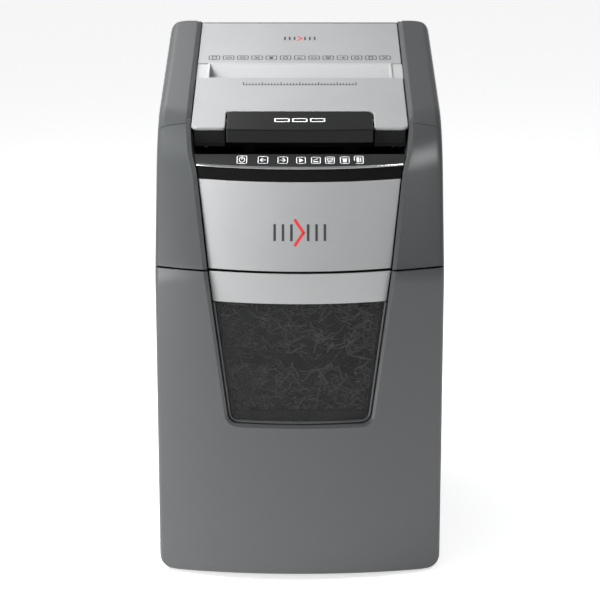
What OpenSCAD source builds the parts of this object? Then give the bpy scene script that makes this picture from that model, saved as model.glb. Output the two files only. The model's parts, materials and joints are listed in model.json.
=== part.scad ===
// Auto-feed paper shredder: pull-out bin below, cutter head in the middle, stack tray under a hinged lid.
// X right, front faces -Y, +Z up, origin on the floor at the middle of the footprint.

/* [Cabinet] */
// overall width
body_w = 350; // [340:1:420]
// overall depth, crown of the front to the rear wall
body_d = 456; // [450:1:540]
// overall height, at the rear edge of the lid
body_h = 641; // [630:1:770]
// height of the head, seam to the rear edge of the lid
head_h = 252; // [245:1:260]
// wall of the moulded shells
shell_t = 3; // [2.5:0.1:4]
// plan radius of the bowed front
bow_r = 420; // [380:5:600]
// plan radius of the front corners
corner_r = 8; // [6:1:16]
// lean of the head's cheeks, from vertical
front_lean = 24; // [22:0.5:25]

/* [Lid] */
// slope of the lid
lid_slope = 15; // [14:0.5:16]
// how far the side arms stand above the lid panel
arm_rise = 6; // [4:0.5:7]
// depth of the lid, panel face to parting line
lid_t = 26; // [25:1:28]
// half width of the silver lid panel
panel_half = 134; // [132:1:140]
// length of the manual paper slot
slot_len = 234; // [225:1:240]

/* [Front] */
// plan radius of the recessed front panels
panel_r = 350; // [330:5:420]
// recess of the panels behind the front crown
panel_in = 6.7; // [6:0.1:9]
// lean of the silver panel
panel_lean = 22; // [20:0.5:23]
// lower edge of the window
window_z = 200; // [180:1:220]
// height of the silver strip between window and seam
strip_h = 39; // [30:1:50]
// height of the silver panel, measured from the seam
panel_h = 102; // [100:1:103]
// height of the silver trim line above the seam
trim_h = 118; // [117:1:119]

/* [Bin] */
// outside width of the bin bucket
bin_w = 300; // [260:1:304]
// outside height of the bin bucket
bin_h = 340; // [260:1:345]
// depth of the bin's front cover
cover_d = 77; // [70:1:90]

/* [Cutters] */
// cutter discs on each shaft
disc_n = 24; // [16:1:24]
// cutter disc diameter
disc_d = 41; // [39:0.5:42]
// cutter disc thickness
disc_t = 4; // [3:0.1:4.1]
// cutter shaft diameter
shaft_d = 16; // [12:0.5:18]

/* [Paper feed] */
// feed tyre diameter
tyre_d = 48; // [44:1:50]
// feed tyre width
tyre_w = 14; // [10:1:16]
// feed shaft diameter
feed_d = 10; // [8:0.5:12]

/* [Clearances] */
// gap between neighbouring panels that do not move together
gap = 1; // [0.6:0.1:1.4]
// radial clearance of a turning shaft
run_fit = 0.05; // [0.03:0.01:0.1]
// side clearance of a push key
key_gap = 0.4; // [0.3:0.05:0.6]

/* [Hidden] */
$fn = 48;
yf = -body_d / 2;
yr = body_d / 2;
ts = tan(lid_slope);
seam_z = body_h - head_h;
strip_z = seam_z - strip_h;
panel_top = seam_z + panel_h;
trim_z = seam_z + trim_h;
dark = [0.40, 0.41, 0.42];
silver = [0.72, 0.73, 0.74];
black = [0.12, 0.12, 0.125];
steel = [0.62, 0.63, 0.65];
// cutter shafts, meshing one to one
mod_c = 2;
n_c = 19;
cut_y = 50;
cut_z = seam_z + 63;
ya = cut_y - n_c * mod_c / 2;
yb = cut_y + n_c * mod_c / 2;
pitch = 9;
// feed shaft, driven by the front cutter gear
n_f = 38;
feed_a = 101.25;
feed_c = (n_c + n_f) * mod_c / 2;
fy = ya + feed_c * cos(feed_a);
fz = cut_z + feed_c * sin(feed_a);
// motor and reduction
mod_m = 1.5;
n_m = 14;
n_w = 56;
n_s = 15;
n_d = 40;
my = 150;
mz = cut_z - 16;
d_cm = (n_m + n_w) * mod_m / 2;
d_cb = (n_s + n_d) * mod_c / 2;
d_bm = norm([my - yb, mz - cut_z]);
along = (d_cb * d_cb - d_cm * d_cm + d_bm * d_bm) / (2 * d_bm);
rise = sqrt(d_cb * d_cb - along * along);
ry = yb + along * (my - yb) / d_bm - rise * (mz - cut_z) / d_bm;
rz = cut_z + along * (mz - cut_z) / d_bm + rise * (my - yb) / d_bm;
// gear layers along X, beside the right cutter plate
plate_x = 118;
lay_1 = 126;
lay_2 = 136;
lay_3 = 146;
gear_w = 8;
// hinge of the lid, pivot of the handle
hinge_r = 5.5;
hinge_y = yr - hinge_r;
piv_y = yf + 148;
// control strip
strip_a = 16.5;
key_y = yf + 74;
key_z = trim_z + 6.4;
key_w = 13;
key_l = 14;
// shift of the keys towards the rear of the strip
key_v = 1;
// heights of the rear wall's fittings
vent_z = seam_z + 81;
plug_z = seam_z + 23;
keys = [-70, -44.5, -20.5];
lamps = [1.5, 19.5, 36.5, 54.5, 71.5];
inset_w = bin_w / 2;

rear_top = body_h + 14 * (ts + 1 / cos(lid_slope) - 1);
function top_z(y) = rear_top - (yr - y) * ts;
function lid_z(y) = top_z(y) - arm_rise;
function part_z(y) = lid_z(y) - lid_t;
hinge_z = part_z(hinge_y) - 1;
piv_z = lid_z(piv_y) - 8;
function arc(cx, cy, r, a0, a1, n, s = 0) =
    [for (i = [s:n]) let (a = a0 + (a1 - a0) * i / n) [cx + r * sin(a), cy - r * cos(a)]];
function fil_y(c) = yf + bow_r - sqrt(pow(bow_r - c, 2) - pow(body_w / 2 - c, 2));
function fil_a(c) = atan2(body_w / 2 - c, yf + bow_r - fil_y(c));
// plan outline of the cabinet, inset by i, its rear wall at y = b
function outline(i, b, rr = 24) =
    let (c = corner_r, cx = body_w / 2 - c, cy = fil_y(c), f = fil_a(c))
    concat(
        arc(0, yf + bow_r, bow_r - i, -f, f, 20),
        arc(cx, cy, c - i, f, 90, 5, 1),
        arc(body_w / 2 - rr, b - rr, rr - i, 90, 180, 5),
        arc(-body_w / 2 + rr, b - rr, rr - i, 180, 270, 5),
        arc(-cx, cy, c - i, 270, 360 - f, 5)
    );
// plan outline of the recessed panels, inset by i
function panel_line(i, b = 150) =
    concat(arc(0, yf + panel_in + panel_r, panel_r - i, -26, 26, 24), [[160, b], [-160, b]]);
// centre of the arc between two lines, normals n1 and n2 through p1 and p2
function arc_c(n1, p1, n2, p2, r) =
    let (a = n1 * p1 - r, b = n2 * p2 - r, d = n1[0] * n2[1] - n1[1] * n2[0])
    [(a * n2[1] - b * n1[1]) / d, (n1[0] * b - n2[0] * a) / d];
function polar(r, a) = [r * cos(a), r * sin(a)];
function inv(r, rb) = let (t = acos(min(1, rb / r))) tan(t) * 180 / PI - t;
// phase of a gear with n2 teeth that meshes with n1 teeth at phase t1, centres along angle b
function phase(n1, t1, n2, b) = b + 180 - (0.5 - (b - t1) * n1 / 360) * 360 / n2;
function heading(y1, z1, y2, z2) = atan2(z2 - z1, y2 - y1);

module up(pts, z0, z1) {
    translate([0, 0, z0]) linear_extrude(z1 - z0) polygon(pts);
}
module leaning(pts, y0, lean) {
    translate([0, y0, seam_z]) rotate([-lean, 0, 0]) translate([0, -y0, -800])
        linear_extrude(1600) polygon(pts);
}
// extrudes a (Y, Z) drawing along X
module along_x(x0, x1) {
    translate([x0, 0, 0]) rotate([90, 0, 90]) linear_extrude(x1 - x0) children();
}
// extrudes an (X, Z) drawing along Y
module along_y(y0, y1) {
    translate([0, y1, 0]) rotate([90, 0, 0]) linear_extrude(y1 - y0) children();
}
module box(x0, x1, y0, y1, z0, z1) {
    translate([x0, y0, z0]) cube([x1 - x0, y1 - y0, z1 - z0]);
}
module both_sides() {
    children();
    mirror([1, 0, 0]) children();
}

// side profile of the head, inset by i
module profile(i) {
    n1 = [-cos(front_lean), sin(front_lean)];
    n2 = [-sin(lid_slope), cos(lid_slope)];
    c = arc_c(n1, [yf + 18, seam_z], n2, [0, top_z(0)], 120);
    r2 = 14;
    cr = [yr - r2, top_z(yr - r2) - r2 / cos(lid_slope)];
    y0 = c[0] - (120 - i) * cos(front_lean) - (c[1] + (120 - i) * sin(front_lean)) * tan(front_lean);
    polygon(concat(
        [[y0, 0]],
        [for (a = [front_lean - 90:(66 - front_lean + 9) / 8:-lid_slope]) c + (120 - i) * [sin(a), cos(a)]],
        [for (a = [-lid_slope:(90 + lid_slope) / 6:90.1]) cr + (r2 - i) * [sin(a), cos(a)]],
        [[yr - i, 0]]
    ));
}
module skin(i) {
    intersection() {
        up(outline(i, yr), 0, body_h + 40);
        leaning(outline(i, 1200), yf, front_lean);
        along_x(-body_w, body_w) profile(i);
    }
}
// front view of the recessed column, grown by g, its foot at z0
module column(g, z0 = window_z) {
    offset(delta = g) polygon([
        for (a = [-90:22.5:0]) [-75 + 13 * sin(a), z0 + 13 - 13 * cos(a)],
        for (a = [0:22.5:90]) [75 + 13 * sin(a), z0 + 13 - 13 * cos(a)],
        [111, seam_z], [125, panel_top + 8], [131, panel_top + 29],
        [panel_half, panel_top + 54], [panel_half, body_h + 60], [-panel_half, body_h + 60],
        [-panel_half, panel_top + 54], [-131, panel_top + 29], [-125, panel_top + 8], [-111, seam_z]
    ]);
}
module column_y(g, z0 = window_z) {
    along_y(yf - 60, 0) column(g, z0);
}
// side view of everything that lifts with the lid, shrunk by g
module lid_side(g) {
    ys = yf + 120;
    yl = ys + (lid_t + arm_rise) / 3;
    offset(delta = -g) polygon([
        [ys - (body_h + 100 - top_z(ys)) / 3, body_h + 100], [yl, part_z(yl)],
        [hinge_y - 12, part_z(hinge_y - 12)], [yr + 60, part_z(hinge_y - 12)], [yr + 60, body_h + 100]
    ]);
}
// slab parallel to the lid panel, between depths d0 and d1 below it
module lid_slab(d0, d1, y0, y1) {
    polygon([[y0, lid_z(y0) - d1], [y1, lid_z(y1) - d1], [y1, lid_z(y1) - d0], [y0, lid_z(y0) - d0]]);
}
module gear_2d(m, n, ang) {
    rp = m * n / 2;
    rb = rp * cos(20);
    ra = rp + 0.92 * m;
    rf = rp - 1.2 * m;
    half = 90 / n - 0.11 * 90 / n;
    r0 = max(rb, rf + 0.02);
    rotate(ang) polygon([for (k = [0:n - 1]) each concat(
        [polar(rf, k * 360 / n - half - inv(rp, rb))],
        [for (i = [0:3]) let (r = r0 + (ra - r0) * i / 3)
            polar(r, k * 360 / n - half - inv(rp, rb) + inv(r, rb))],
        [for (i = [3:-1:0]) let (r = r0 + (ra - r0) * i / 3)
            polar(r, k * 360 / n + half + inv(rp, rb) - inv(r, rb))],
        [polar(rf, k * 360 / n + half + inv(rp, rb))]
    )]);
}
module gear(m, n, ang, x0, w, y, z, bore) {
    along_x(x0, x0 + w) translate([y, z]) difference() {
        gear_2d(m, n, ang);
        circle(d = bore);
    }
}
module rod(x0, x1, y, z, d) {
    along_x(x0, x1) translate([y, z]) circle(d = d);
}
module ring(x0, x1, y, z, d, bore) {
    along_x(x0, x1) translate([y, z]) difference() {
        circle(d = d);
        circle(d = bore);
    }
}
// one cutter disc profile with three hooked notches
module disc_2d(ang) {
    difference() {
        circle(d = disc_d);
        for (k = [0:2]) rotate(ang + 120 * k) translate([disc_d / 2 - 3, 0]) square([6, 5]);
        circle(d = shaft_d);
    }
}
module disc_stack(y, z, shift, turn) {
    x0 = -(disc_n - 1) * pitch / 2 + shift;
    along_x(x0 - disc_t / 2, x0 + (disc_n - 1) * pitch + disc_t / 2) translate([y, z]) difference() {
        circle(d = 30);
        circle(d = shaft_d);
    }
    for (k = [0:disc_n - 1])
        along_x(x0 + k * pitch - disc_t / 2, x0 + k * pitch + disc_t / 2)
            translate([y, z]) disc_2d(turn * k * 17);
}
// ---------------------------------------------------------------- cabinet
module foot_mask() {
    along_y(yf - 10, yr + 10) offset(r = 16) offset(delta = -16)
        polygon([[-body_w / 2, 6], [body_w / 2, 6], [body_w / 2, 900], [-body_w / 2, 900]]);
}
module base_tray() {
    color(black) difference() {
        intersection() {
            up(outline(shell_t, yr), 14, 24);
            box(-body_w, body_w, yf + cover_d + gap, yr, 0, 100);
        }
        intersection() {
            up(outline(shell_t + 3, yr), 18, 30);
            box(-body_w, body_w, yf + cover_d + gap + 3, yr, 0, 100);
        }
    }
}
module rubber_feet() {
    color(black) for (x = [-1, 1], y = [yf + cover_d + 30, yr - 42])
        translate([x * (body_w / 2 - 45), y, 0]) {
            cylinder(d1 = 30, d2 = 32, h = 9);
            translate([0, 0, 9]) cylinder(d = 18, h = 5);
        }
}
module cabinet_shell() {
    color(dark) difference() {
        union() {
            intersection() {
                difference() {
                    up(outline(0, yr), 6, seam_z - 1);
                    up(outline(shell_t, yr), 0, seam_z + 1);
                }
                box(-body_w, body_w, yf + cover_d + gap, yr + 1, 0, 900);
                foot_mask();
            }
            intersection() {
                difference() {
                    up(outline(shell_t, yr), seam_z - 12, seam_z + 1.5);
                    up(outline(shell_t + 2.5, yr), seam_z - 20, seam_z + 2);
                }
                box(-body_w, body_w, yf + cover_d + gap, yr + 1, 0, 900);
            }
        }
        // grip hollows for lifting are left out of the sides; the rear has a cable slot
        box(-12, 12, yr - 10, yr + 10, 0, 14);
    }
}
module bin_rails() {
    color(steel) both_sides() difference() {
        box(inset_w + 6, body_w / 2 - shell_t, yf + cover_d + 12, yr - 34, 62, 78);
        box(inset_w + 5, body_w / 2 - shell_t - 2.5, yf, yr, 64.5, 75.5);
    }
}
// ---------------------------------------------------------------- bin
module bin_cover() {
    z1 = seam_z - 1.5;
    color(dark) union() {
        difference() {
            intersection() {
                difference() {
                    up(outline(0, yr), 6, z1);
                    up(outline(shell_t, yr), 0, z1 + 1);
                }
                box(-body_w, body_w, yf - 1, yf + cover_d, 0, 900);
                foot_mask();
            }
            column_y(0);
        }
        // walls of the recess round window and strip
        intersection() {
            up(outline(0, yr), 6, z1);
            box(-body_w, body_w, yf - 1, yf + 46, 0, z1);
            difference() {
                column_y(2.5);
                column_y(0);
            }
        }
        // inner face that carries the bucket
        difference() {
            intersection() {
                up(outline(shell_t - 0.5, yr), 24, z1 - 8);
                box(-body_w, body_w, yf + 43, yf + 46, 0, 900);
            }
            column_y(-6);
        }
    }
}
module front_slab(i0, i1, z0, z1, g, lean = false) {
    intersection() {
        difference() {
            if (lean) leaning(panel_line(i0), yf + panel_in, panel_lean);
            else up(panel_line(i0), z0, z1);
            if (lean) leaning(panel_line(i1, 160), yf + panel_in, panel_lean);
            else up(panel_line(i1, 160), z0 - 1, z1 + 1);
        }
        box(-body_w, body_w, yf - 20, yf + 110, z0, z1);
        column_y(g);
    }
}
module bin_strip() {
    color(silver) front_slab(0, 2.5, strip_z, seam_z - 1.5, 0);
}
module window() {
    color([0.25, 0.26, 0.27, 0.5]) front_slab(1, 3.5, window_z, strip_z - 4, -4);
}
module window_rim() {
    color(black) difference() {
        front_slab(0, 5, window_z, strip_z, 0);
        along_y(yf - 60, 0) difference() {
            column(-4);
            translate([-200, strip_z - 4]) square([400, 400]);
        }
    }
}
module bin_bucket() {
    y0 = yf + 46;
    y1 = yr - 34;
    color([0.30, 0.31, 0.32]) difference() {
        union() {
            box(-inset_w, inset_w, y0, y1, 30, 30 + bin_h);
            both_sides() box(inset_w - 1, inset_w + 5, y0, y1, 30 + bin_h - 8, 30 + bin_h);
            both_sides() box(inset_w - 1, body_w / 2 - shell_t - 3, y0, y1 - 20, 66, 74);
        }
        box(-inset_w + 2.5, inset_w - 2.5, y0 + 2.5, y1 - 2.5, 32.5, 900);
        intersection() {
            box(-200, 200, y0 - 1, y0 + 4, 0, strip_z + 4);
            column_y(-6);
        }
    }
}
// ---------------------------------------------------------------- head
module deck() {
    color(black) difference() {
        intersection() {
            skin(shell_t);
            leaning(panel_line(2.5, 1200), yf + panel_in, panel_lean);
            box(-body_w, body_w, yf, yr, seam_z + 1.5, seam_z + 5);
        }
        box(-112, 112, ya - 24, yb + 24, 0, 900);
        intersection() {
            difference() {
                column_y(2.5);
                column_y(0);
            }
            box(-body_w, body_w, yf - 20, yf + 150, 0, 900);
        }
    }
}
module head_housing() {
    color(dark) difference() {
        union() {
            screw_bosses();
            difference() {
                intersection() {
                    skin(0);
                    box(-body_w, body_w, yf - 1, yr + 1, seam_z + 1, 900);
                }
                skin(shell_t);
                column_y(0);
            }
            intersection() {
                skin(0);
                difference() {
                    column_y(2.5);
                    column_y(0);
                }
                box(-body_w, body_w, yf - 20, yf + 150, seam_z + 1, 900);
            }
        }
        along_x(-body_w, body_w) lid_side(-0.5);
        box(-body_w, body_w, hinge_y - 9, yr + 10, hinge_z - hinge_r - 2.5, 800);
        for (k = [0:8]) box(-130 + 14 * k, -122 + 14 * k, yr - 8, yr + 8, vent_z, vent_z + 70);
        box(inlet_x - 15, inlet_x + 15, yr - 8, yr + 8, plug_z, plug_z + 24);
        box(rock_x - 8, rock_x + 8, yr - 8, yr + 8, plug_z, plug_z + 24);
        for (x = screw_x, z = screw_z) translate([x, yr + 1, z]) rotate([90, 0, 0]) {
            cylinder(d = 7, h = 3);
            cylinder(d = 3.2, h = 8);
        }
    }
}
screw_x = [-150, 150];
screw_z = [seam_z + 21, seam_z + 171];
inlet_x = 110;
rock_x = 70;
module front_panel() {
    color(silver) front_slab(0, 2.5, seam_z + 1, panel_top, 0, true);
}
module gloss_band() {
    color(black) front_slab(0.4, 2.9, panel_top, trim_z - 1.5, 0, true);
}
module trim_line() {
    color(silver) front_slab(-0.8, 2.9, trim_z - 1.5, trim_z + 1.5, 0, true);
}
// sloping strip that carries the keys
module strip_frame(x, dz) {
    translate([x, key_y, key_z]) rotate([strip_a, 0, 0]) translate([0, 0, dz]) children();
}
module control_panel() {
    color([0.21, 0.21, 0.22]) difference() {
        union() {
            intersection() {
                strip_frame(0, -2.5) translate([-140, -50, 0]) cube([280, 66, 2.5]);
                leaning(panel_line(2.9, 1200), yf + panel_in, panel_lean);
                box(-200, 200, yf, 0, trim_z - 1.5, 600);
                column_y(0);
            }
            // apron that closes the strip down to the trim line
            intersection() {
                front_slab(2.9, 5.4, trim_z - 1.5, trim_z + 30, 0, true);
                strip_frame(0, -40) translate([-140, -50, 0]) cube([280, 90, 40]);
            }
        }
        for (x = keys) strip_frame(x, 0)
            translate([-key_w / 2 - key_gap, key_v - key_l / 2 - key_gap, -5])
                cube([key_w + 2 * key_gap, key_l + 2 * key_gap, 10]);
        for (x = lamps) strip_frame(x, 0) translate([-5, -6, -5]) cube([10, 12, 10]);
    }
}
module push_key(x) {
    color(black) {
        strip_frame(x, -5) translate([-key_w / 2, key_v - key_l / 2, 0]) cube([key_w, key_l, 5.6]);
        strip_frame(x, -7) translate([-2, -2, 0]) cube([4, 4, 3]);
    }
}
module power_key() { push_key(keys[0]); }
module reverse_key() { push_key(keys[1]); }
module forward_key() { push_key(keys[2]); }
module lamp_lenses() {
    color([0.5, 0.5, 0.52]) for (x = lamps) strip_frame(x, -2.5) translate([-5, -6, 0]) cube([10, 12, 2.5]);
}
module control_board() {
    color([0.1, 0.35, 0.2]) intersection() {
        union() {
            strip_frame(0, -14) translate([-116, -12, 0]) cube([232, 24, 1.6]);
            for (x = keys) strip_frame(x, -12.4) translate([-3, -3, 0]) cube([6, 6, 3.2]);
            for (x = lamps) strip_frame(x, -12.4) cylinder(d = 5, h = 8);
        }
        column_y(-2);
        leaning(panel_line(3.5, 1200), yf + panel_in, panel_lean);
    }
}
module recess_panel() {
    y0 = key_y + 16 * cos(strip_a);
    z0 = key_z + 16 * sin(strip_a) - 0.4;
    color(black) both_sides() {
        box(56, 70, yf + 133, yf + 135, z0 - 6, key_z + 14);
        box(56, 58, yf + 133, yf + 150, z0 - 6, key_z + 6);
    }
    color(black) difference() {
        intersection() {
            along_x(-140, 140) polygon([
                [y0, z0], [y0 + 4, z0 - 5], [yf + 168, z0 - 5], [yf + 168, z0 - 7.5],
                [y0 - 1, z0 - 7.5], [y0 - 1, z0 - 3]
            ]);
            column_y(0);
            leaning(panel_line(5.4, 1200), yf + panel_in, panel_lean);
        }
        strip_frame(0, -2.5) translate([-141, -50, 0]) cube([282, 66.01, 8]);
    }
}
// ---------------------------------------------------------------- paper tray and cutters
floor_d = 51;
tyre_x = [-84, -30, 30, 84];
module paper_tray() {
    y0 = yf + 170;
    y1 = yr - 26;
    color(black) difference() {
        union() {
            along_x(-115, 115) lid_slab(floor_d, floor_d + 2.5, y0, y1);
            both_sides() along_x(112.5, 115) lid_slab(lid_t + 4, floor_d + 2.5, y0, y1);
            along_x(-115, 115) lid_slab(lid_t + 4, floor_d + 2.5, y0, y0 + 2.5);
            along_x(-115, 115) lid_slab(lid_t + 4, floor_d + 2.5, y1 - 2.5, y1);
        }
        // gap through which the sheets are drawn down
        box(-112.5, 112.5, cut_y - 16, cut_y + 14, 400, 900);
        // notches in the side walls for the throat of the lid
        box(-130, 130, cut_y - 14, cut_y + 12, lid_z(slot_y0) - 39.5, 900);
        for (x = tyre_x)
            box(x - tyre_w / 2 - 2, x + tyre_w / 2 + 2, fy - tyre_d / 2 - 2, cut_y - 10, 400, 900);
    }
}
module entry_guides() {
    color(steel) {
        difference() {
            along_x(-112, 112) polygon([[cut_y - 16, floor_z(cut_y - 16)], [cut_y - 13, floor_z(cut_y - 16)],
                [cut_y - 1.5, cut_z + 27], [cut_y - 3.5, cut_z + 27]]);
            for (x = tyre_x)
                box(x - tyre_w / 2 - 2, x + tyre_w / 2 + 2, fy, cut_y, fz - tyre_d / 2 + 6, 900);
        }
        along_x(-112, 112) polygon([[cut_y + 12, floor_z(cut_y + 14)], [cut_y + 14, floor_z(cut_y + 14)],
            [cut_y + 3.5, cut_z + 27], [cut_y + 1.5, cut_z + 27]]);
    }
}
function floor_z(y) = lid_z(y) - floor_d;
module bearing_hole(y, z, d) {
    translate([y, z]) circle(d = d);
}
bush_d = shaft_d + 8;
module plate_2d(pts) {
    difference() {
        polygon(pts);
        bearing_hole(ya, cut_z, bush_d);
        bearing_hole(yb, cut_z, bush_d);
        bearing_hole(fy, fz, feed_d + 2 * run_fit);
    }
}
module plate_left() {
    along_x(-plate_x - 4, -plate_x) plate_2d([
        [ya - 34, seam_z + 5], [yb + 34, seam_z + 5], [yb + 34, cut_z + 10],
        [cut_y + 12, floor_z(cut_y + 12) - 4],
        [ya - 26, floor_z(ya - 26) - 4], [ya - 34, cut_z + 20]
    ]);
}
module plate_right() {
    along_x(plate_x, plate_x + 4) difference() {
        plate_2d([
            [ya - 34, seam_z + 5], [my + 42, seam_z + 5], [my + 42, mz + 30], [ry + 20, rz + 18],
            [cut_y + 12, floor_z(cut_y + 12) - 4], [ya - 26, floor_z(ya - 26) - 4], [ya - 34, cut_z + 20]
        ]);
        bearing_hole(my, mz, 16);
        bearing_hole(ry, rz, 8);
    }
}
rods = [[ya - 28, seam_z + 20], [yb + 28, seam_z + 20], [ya - 28, cut_z + 12], [yb + 28, cut_z + 7]];
module tie_rods() {
    color(steel) for (p = rods) rod(-plate_x, plate_x, p[0], p[1], 8);
}
module bushings() {
    color([0.72, 0.58, 0.3]) for (y = [ya, yb]) both_sides()
        ring(plate_x - 1, plate_x + 5, y, cut_z, bush_d, shaft_d + 2 * run_fit);
}
module comb(y0, s) {
    x0 = -(disc_n - 1) * pitch / 2 + s * pitch / 4;
    along_x(-plate_x, plate_x) translate([y0 + s * 27 - 2.5, cut_z - 30]) square([5, 32]);
    for (k = [0:disc_n])
        along_x(x0 + (k - 0.5) * pitch - 1.25, x0 + (k - 0.5) * pitch + 1.25) difference() {
            translate([y0 + min(s * 10, s * 27), cut_z - 30]) square([17, 26]);
            translate([y0, cut_z]) circle(r = 16.5);
        }
}
module stripper_combs() {
    color(dark) {
        comb(ya, -1);
        comb(yb, 1);
    }
}
module cutter_shaft_front() {
    color(steel) rod(-plate_x - 6, lay_1 + gear_w, ya, cut_z, shaft_d);
}
module cutter_shaft_rear() {
    color(steel) rod(-plate_x - 6, lay_3 + gear_w + 2, yb, cut_z, shaft_d);
}
module cutter_discs_front() {
    color([0.5, 0.5, 0.52]) disc_stack(ya, cut_z, -pitch / 4, 1);
}
module cutter_discs_rear() {
    color([0.5, 0.5, 0.52]) disc_stack(yb, cut_z, pitch / 4, -1);
}
t_b = 0;
t_a = phase(n_c, t_b, n_c, 180);
module cutter_gear_front() {
    color(steel) gear(mod_c, n_c, t_a, lay_1, gear_w, ya, cut_z, shaft_d);
}
module rear_gears() {
    color(steel) {
        gear(mod_c, n_c, t_b, lay_1, gear_w, yb, cut_z, shaft_d);
        gear(mod_c, n_d, t_d, lay_3, gear_w, yb, cut_z, shaft_d);
    }
}
t_f = phase(n_c, t_a, n_f, feed_a);
module feed_gear() {
    color(black) gear(mod_c, n_f, t_f, lay_1, gear_w, fy, fz, feed_d);
}
t_d = 0;
t_s = phase(n_d, t_d, n_s, heading(yb, cut_z, ry, rz));
module reduction_gear() {
    color(black) {
        gear(mod_m, n_w, t_w, lay_2, gear_w, ry, rz, 8 + 2 * run_fit);
        gear(mod_c, n_s, t_s, lay_2 + gear_w, gear_w + 2, ry, rz, 8 + 2 * run_fit);
    }
}
t_w = 0;
t_m = phase(n_w, t_w, n_m, heading(ry, rz, my, mz));
module motor_pinion() {
    color(steel) {
        gear(mod_m, n_m, t_m, lay_2, gear_w, my, mz, 8);
        rod(90, lay_2 + gear_w, my, mz, 8);
    }
}
module cutter_plates() {
    color(steel) {
        plate_left();
        plate_right();
        // fixed axle of the reduction gear
        rod(plate_x, lay_3 + gear_w + 4, ry, rz, 8);
        ring(plate_x + 4, lay_2 - 1, ry, rz, 14, 8);
    }
}
module motor() {
    color([0.25, 0.25, 0.27]) difference() {
        union() {
            rod(-2, 112, my, mz, 66);
            rod(112, plate_x, my, mz, 46);
            rod(-12, -2, my, mz, 40);
            for (k = [0:2]) rod(6 + 34 * k, 16 + 34 * k, my, mz, 70);
        }
        rod(84, 130, my, mz, 8 + 2 * run_fit);
    }
}
module feed_shaft() {
    color(steel) {
        rod(-plate_x - 8, lay_1 + gear_w + 2, fy, fz, feed_d);
        for (x = tyre_x) ring(x - tyre_w / 2 - 1, x + tyre_w / 2 + 1, fy, fz, feed_d + 12, feed_d);
    }
}
module feed_tyres() {
    color([0.1, 0.1, 0.1]) for (x = tyre_x) {
        ring(x - tyre_w / 2, x + tyre_w / 2, fy, fz, tyre_d, feed_d + 12);
    }
}
module sensors() {
    color(black) {
        box(-8, 8, cut_y + 16, cut_y + 30, floor_z(cut_y + 16) - 14, floor_z(cut_y + 16) - 2.5);
        both_sides() box(106, 112, cut_y - 6, cut_y + 6, seam_z - 8, seam_z + 1.5);
    }
}
module power_board() {
    color([0.1, 0.35, 0.2]) {
        box(-155, -35, yr - 100, yr - 30, seam_z + 12, seam_z + 13.6);
        for (x = [-150, -40], y = [yr - 95, yr - 35]) translate([x, y, seam_z + 5]) cylinder(d = 6, h = 7);
    }
    color([0.15, 0.15, 0.17]) {
        box(-148, -108, yr - 88, yr - 52, seam_z + 13.6, seam_z + 45);
        for (x = [-92, -74]) translate([x, yr - 80, seam_z + 13.6]) cylinder(d = 14, h = 28);
        box(-60, -44, yr - 90, yr - 62, seam_z + 13.6, seam_z + 38);
    }
}
module mains_inlet() {
    color(black) difference() {
        box(inlet_x - 15, inlet_x + 15, yr - 26, yr, plug_z, plug_z + 24);
        along_y(yr - 18, yr + 1) translate([inlet_x - 12, plug_z + 3]) square([24, 18]);
    }
    color(steel) for (dx = [-7, 0, 7])
        box(inlet_x + dx - 1, inlet_x + dx + 1, yr - 20, yr - 6, plug_z + 10, plug_z + 14);
}
module rocker_frame() {
    color(black) difference() {
        box(rock_x - 8, rock_x + 8, yr - 22, yr, plug_z, plug_z + 24);
        box(rock_x - 6.5, rock_x + 6.5, yr - 18, yr + 1, plug_z + 2.5, plug_z + 21.5);
    }
    color(black) both_sides_x(rock_x) rod(rock_x + 5.2, rock_x + 6.5, yr - 10, plug_z + 12, 3);
}
module both_sides_x(x) {
    children();
    translate([2 * x, 0, 0]) mirror([1, 0, 0]) children();
}
module rocker() {
    color([0.6, 0.1, 0.1]) along_x(rock_x - 5, rock_x + 5) translate([yr - 10, plug_z + 12]) difference() {
        circle(r = 9);
        translate([7.6, -9]) square([4, 18]);
        translate([-12, -9]) square([6, 18]);
    }
}
module door_switch() {
    color(black) difference() {
        box(-150, -130, yr - 22, yr - shell_t, 300, 320);
        box(-143.5, -136.5, yr - 23, yr - 10, 306.5, 313.5);
    }
}
module door_plunger() {
    color([0.85, 0.3, 0.1]) box(-143, -137, yr - 33, yr - 16, 307, 313);
}
module hinge_pins() {
    color(steel) both_sides() {
        rod(108, 156, hinge_y, hinge_z, 5);
        difference() {
            box(108, 112, hinge_y - 16, hinge_y + 3, hinge_z - 30, hinge_z + 3);
            box(100, 120, hinge_y - 2, yr, hinge_z - 40, hinge_z - hinge_r - 2);
        }
        difference() {
            box(152, 156, hinge_y - 16, hinge_y + 3, hinge_z - 30, hinge_z + 3);
            box(150, 160, hinge_y - 2, yr, hinge_z - 40, hinge_z - hinge_r - 2);
        }
        box(108, 156, hinge_y - 16, hinge_y - 13, hinge_z - 30, hinge_z - 12);
        box(108, 156, hinge_y - 14, yr - shell_t, hinge_z - 30, hinge_z - 27);
    }
}
module case_screws() {
    color(steel) for (x = screw_x, z = screw_z) translate([x, yr - 0.4, z]) rotate([90, 0, 0]) {
        difference() {
            cylinder(d = 7, h = 1.6);
            translate([0, 0, -1]) cylinder(d = 2.4, h = 2, $fn = 6);
        }
        cylinder(d = 3.2, h = 12);
    }
}
module screw_bosses() {
    for (x = screw_x, z = screw_z) translate([x, yr - 2, z]) rotate([90, 0, 0]) difference() {
        cylinder(d = 8, h = 13);
        translate([0, 0, -1]) cylinder(d = 3.2, h = 20);
    }
}
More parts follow.
